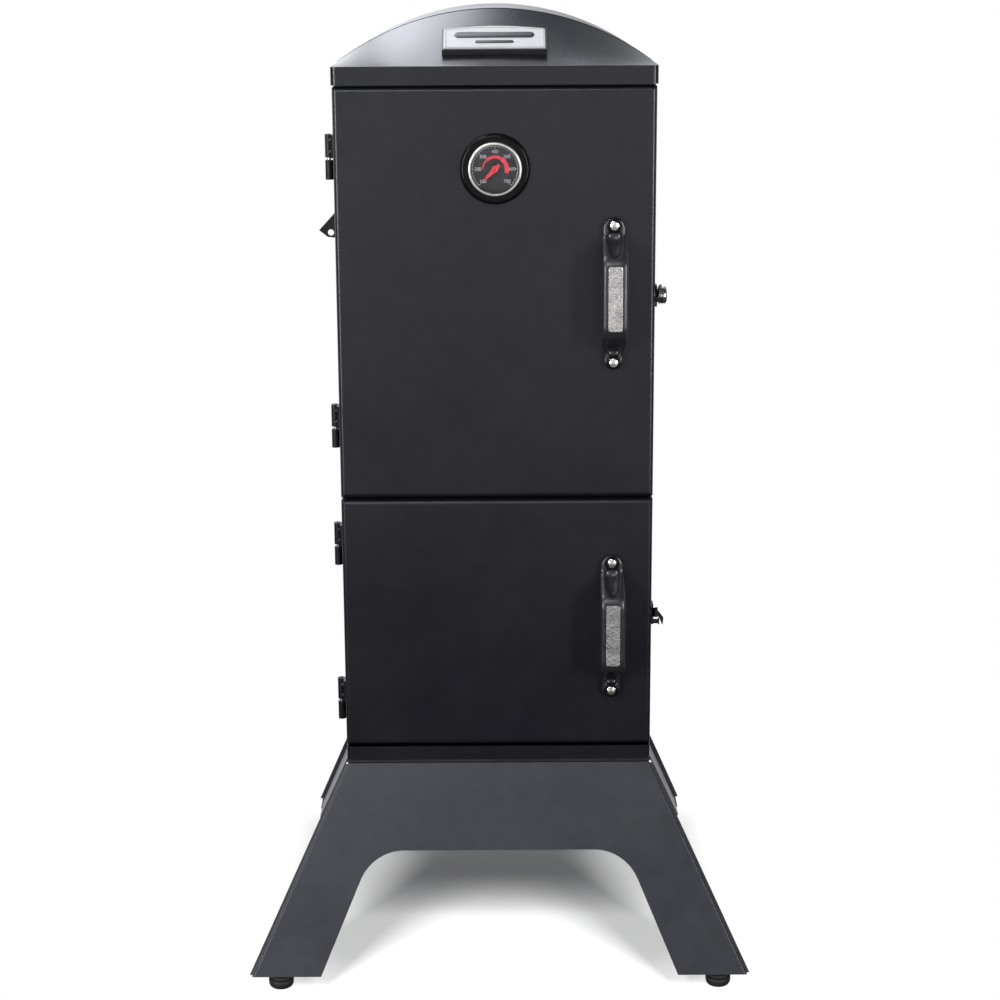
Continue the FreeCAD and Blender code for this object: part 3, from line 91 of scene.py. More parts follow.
class Shader:
    """A Principled material and short calls for the nodes that feed it."""

    def __init__(self, name, colour, roughness, metallic=0.0, **sockets):
        self.material = bpy.data.materials.new(name)
        self.material.use_nodes = True
        self.tree = self.material.node_tree
        self.bsdf = self.tree.nodes["Principled BSDF"]
        self.bsdf.inputs["Base Color"].default_value = (*colour, 1.0)
        self.bsdf.inputs["Roughness"].default_value = roughness
        self.bsdf.inputs["Metallic"].default_value = metallic
        for socket, value in sockets.items():
            self.bsdf.inputs[socket.replace("_", " ")].default_value = value
        self.place = self.tree.nodes.new("ShaderNodeTexCoord").outputs["Object"]

    def link(self, output, target):
        self.tree.links.new(output, target)

    def stretched(self, scale):
        mapping = self.tree.nodes.new("ShaderNodeMapping")
        mapping.inputs["Scale"].default_value = scale
        self.link(self.place, mapping.inputs["Vector"])
        return mapping.outputs["Vector"]

    def noise(self, scale, detail=3.0, place=None, distortion=0.0):
        """Noise in the object's own space, scale in cells per metre."""
        node = self.tree.nodes.new("ShaderNodeTexNoise")
        node.inputs["Scale"].default_value = scale
        node.inputs["Detail"].default_value = detail
        node.inputs["Distortion"].default_value = distortion
        self.link(place or self.place, node.inputs["Vector"])
        return node.outputs["Fac"]

    def cells(self, scale, feature="F1"):
        node = self.tree.nodes.new("ShaderNodeTexVoronoi")
        node.feature = feature
        node.inputs["Scale"].default_value = scale
        self.link(self.place, node.inputs["Vector"])
        return node.outputs["Distance"]

    def wave(self, scale, axis, place=None):
        node = self.tree.nodes.new("ShaderNodeTexWave")
        node.bands_direction = axis
        node.inputs["Scale"].default_value = scale
        self.link(place or self.place, node.inputs["Vector"])
        return node.outputs["Fac"]

    def ramp(self, factor, stops):
        """Colours, or plain greys given as one number, at positions along the factor."""
        node = self.tree.nodes.new("ShaderNodeValToRGB")
        elements = node.color_ramp.elements
        while len(elements) < len(stops):
            elements.new(0.5)
        for element, (position, value) in zip(elements, stops):
            element.position = position
            colour = value if isinstance(value, tuple) else (value, value, value)
            element.color = (*colour, 1.0)
        self.link(factor, node.inputs["Fac"])
        return node.outputs["Color"]

    def colour(self, output):
        self.link(output, self.bsdf.inputs["Base Color"])
        return self

    def rough(self, output):
        self.link(output, self.bsdf.inputs["Roughness"])
        return self

    def bump(self, *layers):
        """Stack (height output, strength, depth in metres) layers of relief."""
        before = None
        for height, strength, depth in layers:
            node = self.tree.nodes.new("ShaderNodeBump")
            node.inputs["Strength"].default_value = strength
            node.inputs["Distance"].default_value = depth
            self.link(height, node.inputs["Height"])
            if before is not None:
                self.link(before, node.inputs["Normal"])
            before = node.outputs["Normal"]
        self.link(before, self.bsdf.inputs["Normal"])
        return self


# ---- materials ------------------------------------------------------------------------

def powder_coat(name, dark, light, roughness):
    """Satin powder coat: fine orange peel, faint mottling and a slightly uneven gloss."""
    made = Shader(name, light, roughness, Specular_IOR_Level=0.5)
    mottle = made.noise(55.0, 6.0)
    made.colour(made.ramp(mottle, [(0.3, dark), (0.7, light)]))
    gloss = [(0.3, roughness - 0.04), (0.7, roughness + 0.05)]
    made.rough(made.ramp(made.noise(9.0, 3.0), gloss))
    return made.bump((made.noise(1500.0, 2.0), 0.11, 0.0002),
                     (made.noise(420.0, 2.0), 0.05, 0.0004))


def polished(name, colour, roughness):
    """Bright plated metal, a little cloudy in places."""
    made = Shader(name, colour, roughness, metallic=1.0)
    made.rough(made.ramp(made.noise(160.0, 5.0), [(0.35, roughness), (0.75, roughness + 0.1)]))
    return made.bump((made.noise(700.0, 2.0), 0.05, 0.0001))


def pebbled_cast():
    """Cast metal with a fine pebble grain, brighter on the tops of the grains."""
    made = Shader("pebbled_cast", (0.62, 0.60, 0.57), 0.36, metallic=1.0)
    grain = made.cells(620.0, "SMOOTH_F1")
    made.colour(made.ramp(grain, [(0.1, (0.80, 0.78, 0.74)), (0.7, (0.42, 0.40, 0.38))]))
    made.rough(made.ramp(made.noise(90.0), [(0.3, 0.30), (0.7, 0.46)]))
    return made.bump((grain, 0.7, 0.0005))


def brushed_face():
    """The badge's pale face, with fine streaks along its width."""
    made = Shader("brushed_face", (0.5, 0.5, 0.5), 0.45)
    streaks = made.noise(60.0, 4.0, made.stretched((1.0, 40.0, 40.0)))
    made.colour(made.ramp(streaks, [(0.3, (0.32, 0.32, 0.32)), (0.7, (0.46, 0.46, 0.455))]))
    made.rough(made.ramp(streaks, [(0.3, 0.38), (0.7, 0.52)]))
    return made.bump((streaks, 0.15, 0.0001))


def enamel():
    """Black porcelain enamel with its scattered pale specks."""
    made = Shader("speckled_enamel", (0.012, 0.012, 0.014), 0.12, Coat_Weight=0.4)
    specks = made.cells(260.0)
    made.colour(made.ramp(specks, [(0.10, (0.55, 0.56, 0.58)), (0.14, (0.012, 0.012, 0.014))]))
    return made.bump((made.noise(70.0, 2.0), 0.06, 0.0006))


def sooty_steel():
    """The liner's matt coating, stained brown and grey by heat."""
    made = Shader("sooty_liner", (0.06, 0.055, 0.05), 0.62, metallic=0.3)
    stain = made.noise(6.0, 6.0, distortion=0.8)
    made.colour(made.ramp(stain, [(0.3, (0.035, 0.032, 0.03)), (0.55, (0.075, 0.07, 0.066)),
                                  (0.8, (0.10, 0.085, 0.07))]))
    made.rough(made.ramp(made.noise(40.0), [(0.3, 0.5), (0.7, 0.75)]))
    return made.bump((made.noise(900.0, 2.0), 0.15, 0.0002))


def plated_wire():
    """Nickel-plated wire, dulled in patches."""
    made = Shader("plated_wire", (0.62, 0.61, 0.59), 0.24, metallic=1.0)
    dull = made.noise(25.0, 5.0)
    made.colour(made.ramp(dull, [(0.3, (0.48, 0.46, 0.43)), (0.7, (0.70, 0.69, 0.68))]))
    made.rough(made.ramp(dull, [(0.3, 0.36), (0.7, 0.18)]))
    return made.bump((made.noise(500.0, 2.0), 0.08, 0.0002))


def black_oxide():
    """Blackened steel of the small fittings."""
    made = Shader("black_oxide", (0.016, 0.016, 0.018), 0.4, metallic=0.6)
    made.rough(made.ramp(made.noise(120.0), [(0.3, 0.32), (0.7, 0.5)]))
    return made.bump((made.noise(900.0, 2.0), 0.12, 0.0002))


def handle_coat():
    """Smooth semi-gloss black over cast metal."""
    made = Shader("handle_coat", (0.018, 0.018, 0.021), 0.3, Coat_Weight=0.25,
                  Coat_Roughness=0.2)
    made.rough(made.ramp(made.noise(60.0), [(0.3, 0.26), (0.7, 0.38)]))
    return made.bump((made.noise(1100.0, 2.0), 0.14, 0.0002))


def braided_rope():
    """Glass-fibre rope: crossed yarns over dark fibre."""
    made = Shader("braided_rope", (0.10, 0.10, 0.10), 0.9, Sheen_Weight=0.35)
    one = made.wave(170.0, "DIAGONAL")
    other = made.wave(170.0, "DIAGONAL", place=made.stretched((1.0, 1.0, -1.0)))
    yarn = worked_out(made.tree, "MAXIMUM", one, other)
    made.colour(made.ramp(yarn, [(0.2, (0.035, 0.034, 0.033)), (0.9, (0.17, 0.165, 0.155))]))
    return made.bump((yarn, 0.8, 0.0008), (made.noise(1500.0), 0.3, 0.0002))


def moulded_rubber():
    """Dark rubber with dusty patches; it also colours the painted shade in the base recess."""
    made = Shader("moulded_rubber", (0.014, 0.014, 0.015), 0.62)
    made.colour(made.ramp(made.noise(45.0, 5.0), [(0.35, (0.010, 0.010, 0.011)),
                                                  (0.8, (0.028, 0.027, 0.026))]))
    return made.bump((made.noise(800.0, 3.0), 0.25, 0.0003))


def printed_dial():
    """The dial's black card."""
    made = Shader("printed_dial", (0.012, 0.012, 0.014), 0.4)
    made.colour(made.ramp(made.noise(30.0, 4.0), [(0.3, (0.010, 0.010, 0.012)),
                                                  (0.8, (0.020, 0.020, 0.023))]))
    return made.bump((made.noise(1200.0), 0.05, 0.0001))


def enamel_paint(name, colour, roughness=0.35):
    """Printed or painted colour, slightly uneven."""
    made = Shader(name, colour, roughness)
    shade = tuple(channel * 0.82 for channel in colour)
    made.colour(made.ramp(made.noise(180.0, 4.0), [(0.3, shade), (0.7, colour)]))
    return made.bump((made.noise(1500.0), 0.06, 0.0001))


def gloss_black():
    """Glossy moulded plastic of the thermometer's surround and the bolt collars."""
    made = Shader("gloss_black", (0.004, 0.004, 0.0045), 0.16, Specular_IOR_Level=0.14)
    made.rough(made.ramp(made.noise(140.0), [(0.3, 0.13), (0.7, 0.22)]))
    return made.bump((made.noise(500.0, 2.0), 0.06, 0.0002))


def satin_bolt():
    """Zinc-plated metal with a soft sheen."""
    made = Shader("satin_bolt", (0.72, 0.70, 0.64), 0.34, metallic=1.0)
    made.colour(made.ramp(made.noise(300.0, 4.0), [(0.3, (0.60, 0.58, 0.52)),
                                                   (0.7, (0.80, 0.78, 0.72))]))
    return made.bump((made.noise(900.0, 2.0), 0.10, 0.0002))


def clear_glass():
    """Coated glass that mirrors little of the room."""
    made = Shader("clear_glass", (1.0, 1.0, 1.0), 0.0, Transmission_Weight=1.0, IOR=1.22)
    return made.rough(made.ramp(made.noise(220.0, 3.0), [(0.5, 0.0), (0.9, 0.02)]))


BODY = powder_coat("body_powder_coat", (0.0060, 0.0060, 0.0092), (0.0082, 0.0082, 0.0122), 0.30)
# painted light: the legs' coat is the body's powder coat made lighter for the light the upturned
# leg panels catch
LEGS_PAINTED_LIGHTER = powder_coat("leg_coat_painted_lighter", (0.0165, 0.0180, 0.0230), (0.0235, 0.0255, 0.0325), 0.36)
CHROME = polished("polished_chrome", (0.83, 0.83, 0.84), 0.07)
CAST = pebbled_cast()
FACE = brushed_face()
ENAMEL = enamel()
LINER = sooty_steel()
WIRE = plated_wire()
OXIDE = black_oxide()
HANDLE = handle_coat()
ROPE = braided_rope()
RUBBER_AND_SHADE = moulded_rubber()
DIAL = printed_dial()
RED = enamel_paint("pointer_red", (0.86, 0.045, 0.07))
PALE = enamel_paint("dial_print", (0.66, 0.70, 0.76))
DARK = enamel_paint("badge_ink", (0.012, 0.012, 0.014), 0.45)
GLASS = clear_glass()
GLOSS = gloss_black()
SATIN = satin_bolt()

NODE_LOOKS = {
    BODY: ["cabinet_shell", "front_frame", "roof_cap", "base_pan", "upper_door_skin",
           "lower_door_skin"],
    LEGS_PAINTED_LIGHTER: ["front_leg_panel", "side_leg_left", "side_leg_right", "rear_brace"],
    LINER: ["inner_liner", "vent_collars", "upper_door_liner", "lower_door_liner"],
    ENAMEL: ["water_pan", "ash_pan"],
    WIRE: ["cooking_grid_1", "cooking_grid_2", "cooking_grid_3", "cooking_grid_4",
           "runner_frame_left", "runner_frame_right", "charcoal_basket", "hinge_pins"],
    SATIN: ["thermometer_ring"],
    CHROME: ["thermometer_stem", "upper_handle_bolts", "lower_handle_bolts",
             "upper_latch_hook"],
    CAST: ["upper_handle_insert", "lower_handle_insert"],
    FACE: ["badge_face"],
    HANDLE: ["upper_door_handle", "lower_door_handle", "badge_backing"],
    GLOSS: ["thermometer_bezel"],
    OXIDE: ["damper_rivets", "upper_frame_hinge_leaves", "lower_frame_hinge_leaves",
            "upper_door_hinge_leaves", "lower_door_hinge_leaves",
            "upper_latch_base", "lower_latch_base", "upper_latch_stud", "lower_latch_stud",
            "lower_latch_hook", "exhaust_damper", "intake_damper"],
    ROPE: ["upper_door_gasket", "lower_door_gasket"],
    RUBBER_AND_SHADE: ["foot_front_left", "foot_front_right", "foot_rear_left", "foot_rear_right"],
    DIAL: ["thermometer_dial"],
    RED: ["thermometer_needle"],
    GLASS: ["thermometer_lens"],
}


def dress_nodes():
    """Put the looks on the CAD pieces; some are hidden later by finer ones."""
    for look, names in NODE_LOOKS.items():
        for name in names:
            for slot in nodes[name].material_slots:
                slot.material = look.material


# ---- mesh helpers ---------------------------------------------------------------------

def piece(name, verts, faces, look, body, slot, smooth=True):
    """A mesh object with one look, which rides on a body; the slot argument is not used."""
    mesh = bpy.data.meshes.new(name)
    mesh.from_pydata([tuple(v) for v in verts], [], faces)
    mesh.validate()
    shell = bmesh.new()
    shell.from_mesh(mesh)
    bmesh.ops.remove_doubles(shell, verts=shell.verts, dist=1e-6)
    bmesh.ops.recalc_face_normals(shell, faces=shell.faces)
    shell.to_mesh(mesh)
    shell.free()
    mesh.polygons.foreach_set("use_smooth", [smooth] * len(mesh.polygons))
    made = bpy.data.objects.new(name, mesh)
    scene.collection.objects.link(made)
    made.data.materials.append(look.material)
    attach(made, body)
    return made


def grid_faces(rows, columns, close_rows=False):
    """Quads of a lattice of points, row by row; every row closes on itself."""
    faces = []
    for i in range(rows if close_rows else rows - 1):
        for j in range(columns):
            a = i * columns + j
            b = i * columns + (j + 1) % columns
            c = ((i + 1) % rows) * columns + (j + 1) % columns
            d = ((i + 1) % rows) * columns + j
            faces.append((a, b, c, d))
    return faces


def lathed(profile, centre, axis, sides):
    """Verts and faces of (radius, height) points turned about an axis through centre."""
    turn = Vector((0, 0, 1)).rotation_difference(Vector(axis)).to_matrix()
    verts = []
    for radius, height in profile:
        for k in range(sides):
            angle = TURN * k / sides
            point = Vector((radius * math.cos(angle), radius * math.sin(angle), height))
            verts.append(Vector(centre) + turn @ point)
    faces = grid_faces(len(profile), sides)
    faces.append(tuple(range(sides)))
    faces.append(tuple(range((len(profile) - 1) * sides, len(profile) * sides)))
    return verts, faces


def gather(shapes):
    """Join several (verts, faces) into one."""
    verts, faces = [], []
    for more_verts, more_faces in shapes:
        start = len(verts)
        verts += more_verts
        faces += [tuple(start + index for index in face) for face in more_faces]
    return verts, faces


def in_metres(pairs):
    """Pairs of millimetres as metres."""
    return [(first * MM, second * MM) for first, second in pairs]


# shares of the head's radius, with heights in millimetres
SCREW_PROFILE = ((1.45, 0.0), (1.45, 0.6), (1.02, 0.7), (1.0, 1.4), (0.86, 2.2), (0.5, 2.7),
                 (0.46, 2.6), (0.42, 1.2))
SCREW_SIDES = 20


def screw_head(centre, axis, radius):
    """A pan head on a washer, with a round socket."""
    profile = [(radius * share, height * MM) for share, height in SCREW_PROFILE]
    return lathed(profile, centre, axis, SCREW_SIDES)


# ---- badge and roof -------------------------------------------------------------------

ROOF_BAND = 23 * MM
ROOF_SETBACK = 100 * MM
ROOF_PITCH = math.atan2(68.0, 100.0)
CREST_BEAD = 0.8 * MM
CREST_SUNK = 0.35 * MM
CREST_SHARE = 0.985
CREST_STEPS = 96
CREST_SIDES = 10


def crest_bead():
    """The folded rim along the arch where the roof's front meets its vault."""
    low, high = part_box("roof_cap")
    half = (high.x - low.x) / 2
    shoulder = low.z + ROOF_BAND
    rise = high.z - shoulder
    radius = (half * half + rise * rise) / (2 * rise)
    hub = Vector((0, low.y + ROOF_SETBACK, high.z - radius))
    reach = math.asin(half / radius) * CREST_SHARE
    verts = []
    for i in range(CREST_STEPS + 1):
        angle = -reach + 2 * reach * i / CREST_STEPS
        outwards = Vector((math.sin(angle), 0, math.cos(angle)))
        spot = hub + outwards * (radius - CREST_SUNK)
        for k in range(CREST_SIDES):
            spin = TURN * k / CREST_SIDES
            swell = outwards * math.cos(spin) + Vector((0, 1, 0)) * math.sin(spin)
            verts.append(spot + swell * CREST_BEAD)
    faces = grid_faces(CREST_STEPS + 1, CREST_SIDES)
    faces.append(tuple(range(CREST_SIDES)))
    faces.append(tuple(range(CREST_STEPS * CREST_SIDES, (CREST_STEPS + 1) * CREST_SIDES)))
    piece("roof_crest_bead", verts, faces, BODY, "cabinet", "body_paint")


BADGE_THICK = 1.0 * MM
BADGE_HALF = 63.5 * MM
BADGE_SIDE_TALL = 41.0 * MM
BADGE_CROWN_TALL = 46.0 * MM
CROWN_STEPS = 24
# middle's height up the slope, half length and half height of each bar
BADGE_BARS = ((27 * MM, 50 * MM, 5.6 * MM), (13 * MM, 24 * MM, 2.4 * MM))
BAR_THICK = 0.9 * MM
BAR_SIDES = 24
# shares of the thickness and of the outline
BAR_LEVELS = ((0.0, 1.0), (0.7, 1.0), (1.0, 0.94))
BORDER_INSET = 2.2 * MM
BORDER_HALF = 0.8 * MM
BORDER_TALL = 0.7 * MM
# shares of the half width and of the height, from the outer foot to the inner one
BORDER_RIDGE = ((1.0, 0.0), (0.6, 1.0), (-0.6, 1.0), (-1.0, 0.0))


def badge_frame():
    """The badge's face: the middle of its lower edge, then across, up the slope and outwards."""
    low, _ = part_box("badge_face")
    up = Vector((0, math.cos(ROOF_PITCH), math.sin(ROOF_PITCH)))
    out = Vector((0, -math.sin(ROOF_PITCH), math.cos(ROOF_PITCH)))
    edge = Vector((0, low.y, low.z + math.cos(ROOF_PITCH) * BADGE_THICK))
    return edge, Vector((1, 0, 0)), up, out


def raised_bar(centre, across, up, out, half_long, half_tall):
    """A bar with rounded ends, standing on the badge."""
    outline = []
    shift = half_long - half_tall
    for k in range(BAR_SIDES):
        angle = TURN * k / BAR_SIDES
        end = shift if math.cos(angle) > 0 else -shift
        outline.append((end + half_tall * math.cos(angle), half_tall * math.sin(angle)))
    verts = []
    for level, share in BAR_LEVELS:
        for a, b in outline:
            spot = centre + across * a * share + up * b * share
            verts.append(spot + out * (BAR_THICK * level))
    faces = grid_faces(len(BAR_LEVELS), BAR_SIDES)
    faces.append(tuple(range(2 * BAR_SIDES, 3 * BAR_SIDES)))
    return verts, faces


def badge_marks():
    """A raised border and two plain dark bars in place of lettering."""
    edge, across, up, out = badge_frame()
    bars = [raised_bar(edge + up * rise, across, up, out, half_long, half_tall)
            for rise, half_long, half_tall in BADGE_BARS]
    piece("badge_bars", *gather(bars), DARK, "cabinet", "hardware_black")
    reach = BADGE_HALF - BORDER_INSET
    loop = [(-reach, BORDER_INSET), (reach, BORDER_INSET)]
    for k in range(CROWN_STEPS + 1):
        x = reach * (1 - 2 * k / CROWN_STEPS)
        crown = (BADGE_CROWN_TALL - BADGE_SIDE_TALL) * (1 - (x / BADGE_HALF) ** 2)
        loop.append((x, BADGE_SIDE_TALL + crown - BORDER_INSET))
    middle = BADGE_SIDE_TALL / 2
    verts = []
    for share, level in BORDER_RIDGE:
        grow = BORDER_HALF * share
        for a, b in loop:
            climb = middle + (b - middle) * (1 + grow / middle)
            spot = edge + across * a * (1 + grow / BADGE_HALF) + up * climb
            verts.append(spot + out * (BORDER_TALL * level))
    faces = grid_faces(len(BORDER_RIDGE), len(loop))
    piece("badge_border", verts, faces, FACE, "cabinet", "cast_metal", smooth=False)


# ---- thermometer ----------------------------------------------------------------------

DIAL_LIFT = 0.35 * MM
SCALE_START = 225.0
SCALE_SWEEP = 270.0
TICK_GAPS = 30
TICKS_TO_NUMBER = 5
TICK_HALF = 0.0016
LONG_TICK_FROM = 24.6 * MM
SHORT_TICK_FROM = 26.4 * MM
SCALE_RING = (28.4 * MM, 28.9 * MM)
# inner radius, outer radius, and the fractions of the scale where each red arc starts and ends
ZONES = ((14.2 * MM, 16.2 * MM, 0.17, 0.33), (13.2 * MM, 17.0 * MM, 0.34, 0.60),
         (12.4 * MM, 17.6 * MM, 0.61, 0.90))
DIAL_NUMBERS = (100, 200, 300, 400, 500, 600, 700)
NUMBER_TALL = 6.0 * MM
NUMBER_THICK = 0.08 * MM
NUMBER_LIFT = 0.25 * MM
NUMBER_RADIUS = 21.6 * MM


def dial_point(centre, radius, degrees, lift):
    """A point on the dial: 0 degrees is to the right, and angles run anticlockwise."""
    angle = math.radians(degrees)
    return centre + Vector((radius * math.cos(angle), -lift, radius * math.sin(angle)))


def scale_angle(fraction):
    """The angle at a fraction of the scale, in degrees; the scale runs clockwise."""
    return SCALE_START - SCALE_SWEEP * fraction


def dial_band(centre, inner, outer, start, end, steps=40):
    """A flat arc of print between two fractions of the scale, a hair thick."""
    verts = []
    for i in range(steps + 1):
        degrees = scale_angle(start + (end - start) * i / steps)
        for radius, level in ((inner, 0.0), (inner, DIAL_LIFT), (outer, DIAL_LIFT), (outer, 0.0)):
            verts.append(dial_point(centre, radius, degrees, level))
    faces = grid_faces(steps + 1, 4)
    faces += [(0, 1, 2, 3), tuple(range(steps * 4, steps * 4 + 4))]
    return verts, faces


def dial_number(centre, number, fraction):
    """One number of the scale, as a thin solid."""
    words = bpy.data.curves.new(f"dial_number_{number}", "FONT")
    words.body = str(number)
    words.size = NUMBER_TALL
    words.align_x = "CENTER"
    words.align_y = "CENTER"
    words.extrude = NUMBER_THICK
    holder = bpy.data.objects.new("dial_words", words)
    scene.collection.objects.link(holder)
    mesh = bpy.data.meshes.new_from_object(holder)
    bpy.data.objects.remove(holder)
    spot = dial_point(centre, NUMBER_RADIUS, scale_angle(fraction), NUMBER_LIFT)
    mesh.transform(Matrix.Translation(spot) @ Matrix.Rotation(math.radians(90), 4, "X"))
    made = bpy.data.objects.new(f"dial_number_{number}", mesh)
    scene.collection.objects.link(made)
    mesh.materials.clear()
    mesh.materials.append(PALE.material)
    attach(made, "upper_door")


def dial_markings():
    """Scale ticks, three red arcs and plain round numbers."""
    low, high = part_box("thermometer_dial")
    centre = Vector(((low.x + high.x) / 2, low.y, (low.z + high.z) / 2))
    ticks = []
    for i in range(TICK_GAPS + 1):
        at = i / TICK_GAPS
        at_number = i % TICKS_TO_NUMBER == 0
        inner = LONG_TICK_FROM if at_number else SHORT_TICK_FROM
        wide = TICK_HALF * (1.0 if at_number else 0.5)
        ticks.append(dial_band(centre, inner, SCALE_RING[0], at - wide, at + wide, steps=2))
    ticks.append(dial_band(centre, *SCALE_RING, 0.0, 1.0))
    piece("dial_ticks", *gather(ticks), PALE, "upper_door", "dial_face", smooth=False)
    zones = [dial_band(centre, *zone) for zone in ZONES]
    piece("dial_zones", *gather(zones), RED, "upper_door", "needle_red", smooth=False)
    for index, number in enumerate(DIAL_NUMBERS):
        dial_number(centre, number, index / (len(DIAL_NUMBERS) - 1))


POINTER_SUNK = 0.2 * MM
# along the pointer and half its width, in millimetres, from tail to tip
POINTER_OUTLINE = [(-7.5, 2.4), (-5.0, 2.0), (0.0, 2.8), (9.0, 2.2), (16.0, 1.5), (19.5, 0.6),
                   (20.2, 0.0)]
# height in millimetres and share of the width
POINTER_LEVELS = ((0.0, 1.0), (0.45, 1.0), (0.75, 0.55))
HUB_PROFILE = ((4.3, 0.0), (4.3, 0.9), (3.7, 1.7), (1.6, 2.2))
HUB_SIDES = 32


def pointer():
    """A tapered red pointer with a counterweight and a turned hub cap."""
    _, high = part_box("thermometer_needle")
    dial_low, dial_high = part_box("thermometer_dial")
    dial = (dial_low + dial_high) / 2
    centre = Vector((dial.x, high.y - POINTER_SUNK, dial.z))
    reach = math.radians(SCALE_START)
    along = Vector((math.cos(reach), 0, math.sin(reach)))
    side = Vector((-along.z, 0, along.x))
    loop = POINTER_OUTLINE + [(a, -b) for a, b in reversed(POINTER_OUTLINE[:-1])]
    verts = []
    for level, share in POINTER_LEVELS:
        for a, b in loop:
            spot = centre + along * a * MM + side * b * share * MM
            verts.append(spot + Vector((0, -level * MM, 0)))
    faces = grid_faces(len(POINTER_LEVELS), len(loop))
    faces.append(tuple(range(len(loop))))
    faces.append(tuple(range(2 * len(loop), 3 * len(loop))))
    made = piece("pointer", verts, faces, RED, "needle", "needle_red", smooth=False)
    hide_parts("thermometer_needle")
    hub = lathed(in_metres(HUB_PROFILE), centre, (0, -1, 0), HUB_SIDES)
    piece("pointer_hub", *hub, RED, "needle", "needle_red")


# ---- handles --------------------------------------------------------------------------

STRAP_STEP = 1.6 * MM
STRAP_SIDES = 72
STRAP_BENDS = (14 * MM, 18 * MM, 18 * MM, 14 * MM)
STRAP_SHORT = 0.2 * MM
STRAP_FOOT_LONG = 25 * MM
STRAP_FOOT_MID = 4.4 * MM
GRIP_LONG_HALF = 45 * MM
GRIP_SUNK = 5.6 * MM
GRIP_HALF = 15.6 * MM
BOSS_TOP = 14.5 * MM
BOSS_LOW = 12.0 * MM
TIP_LEAST = 0.05
WAIST_FROM = 55 * MM
WAIST_LONG = 25 * MM
THINNING_SHORT = 18 * MM
HALF_THICK = 5.4 * MM
HALF_THINNED = 1.0 * MM
TIP_THIN = 0.75
SQUARENESS = 0.5
SCOOP_AT = 64 * MM
SCOOP_HALF_LONG = 17 * MM
SCOOP_DEEP = 7.4 * MM
SCOOP_WIDE = 10.0 * MM
SCOOP_FLARE = 2.2 * MM
# how boxy the scoop's outline is across and along, and how steep its walls are
SCOOP_POWERS = (2.4, 2.6, 0.4)
BOLT_INSET = 6.5 * MM
BOLT_SEAT = 8.4 * MM
BOLT_SIDES = 40
BOLT_CAP = ((6.0, 0.0), (6.0, 2.6), (5.6, 3.6), (4.7, 4.4), (3.2, 4.9), (1.4, 5.15), (0.2, 5.2))
BOLT_COLLAR = ((6.4, 0.0), (6.4, 1.6), (7.0, 2.0), (8.4, 1.9), (9.2, 1.2), (9.4, 0.0))


def rounded_path(corners, radii):
    """Points along a polyline whose corners are turned into arcs."""
    points = [corners[0]]
    for before, corner, after, radius in zip(corners, corners[1:], corners[2:], radii):
        inward, outward = (before - corner).normalized(), (after - corner).normalized()
        half = inward.angle(outward) / 2
        cut = radius / math.tan(half)
        hub = corner + (inward + outward).normalized() * (radius / math.sin(half))
        first, last = corner + inward * cut - hub, corner + outward * cut - hub
        bend = first.angle(last)
        count = max(3, int(radius * bend / STRAP_STEP))
        for i in range(count + 1):
            part = i / count
            mix = first * math.sin((1 - part) * bend) + last * math.sin(part * bend)
            points.append(hub + mix / math.sin(bend))
    points.append(corners[-1])
    even = [points[0]]
    for start, end in zip(points, points[1:]):
        count = max(1, round((end - start).length / STRAP_STEP))
        even += [start.lerp(end, (i + 1) / count) for i in range(count)]
    return even


def strap_path(half, out):
    """The strap's centre line in its side view, from the upper foot to the lower one."""
    end, bend, foot = half - STRAP_SHORT, half - STRAP_FOOT_LONG, STRAP_FOOT_MID
    grip = out - GRIP_SUNK
    corners = [(end, foot), (bend, foot), (GRIP_LONG_HALF, grip),
               (-GRIP_LONG_HALF, grip), (-bend, foot), (-end, foot)]
    return rounded_path([Vector((0, -b, a)) for a, b in corners], STRAP_BENDS)


def strap_section(spot, half, outer):
    """One rounded section: broad at the feet, waisted at the grip, hollowed at the scoops."""
    height = abs(spot.z)
    upper = spot.z > 0
    spread = min(1.0, height / (half - THINNING_SHORT))
    boss = BOSS_TOP if upper else BOSS_LOW
    cap = min(1.0, (half - height) / boss)
    tip = math.sqrt(max(0.0, 1 - (1 - cap) ** 2))
    blend = min(1.0, max(0.0, (height - WAIST_FROM) / WAIST_LONG))
    wide = ((1 - blend) * GRIP_HALF + blend * boss) * max(tip, TIP_LEAST)
    thick = (HALF_THICK - HALF_THINNED * spread ** 2) * (TIP_THIN + (1 - TIP_THIN) * tip)
    along_scoop = (height - SCOOP_AT) / SCOOP_HALF_LONG
    bowl_wide = SCOOP_WIDE + SCOOP_FLARE * along_scoop if upper else SCOOP_WIDE
    power_across, power_along, power_deep = SCOOP_POWERS
    points = []
    for k in range(STRAP_SIDES):
        angle = TURN * k / STRAP_SIDES
        c, s = math.cos(angle), math.sin(angle)
        x = wide * math.copysign(abs(c) ** SQUARENESS, c)
        y = thick * math.copysign(abs(s) ** SQUARENESS, s)
        bowl = 1 - abs(x / bowl_wide) ** power_across - abs(along_scoop) ** power_along
        if s > 0 and bowl > 0:
            y -= SCOOP_DEEP * bowl ** power_deep
        points.append(spot + Vector((x, 0, 0)) + outer * y)
    return points


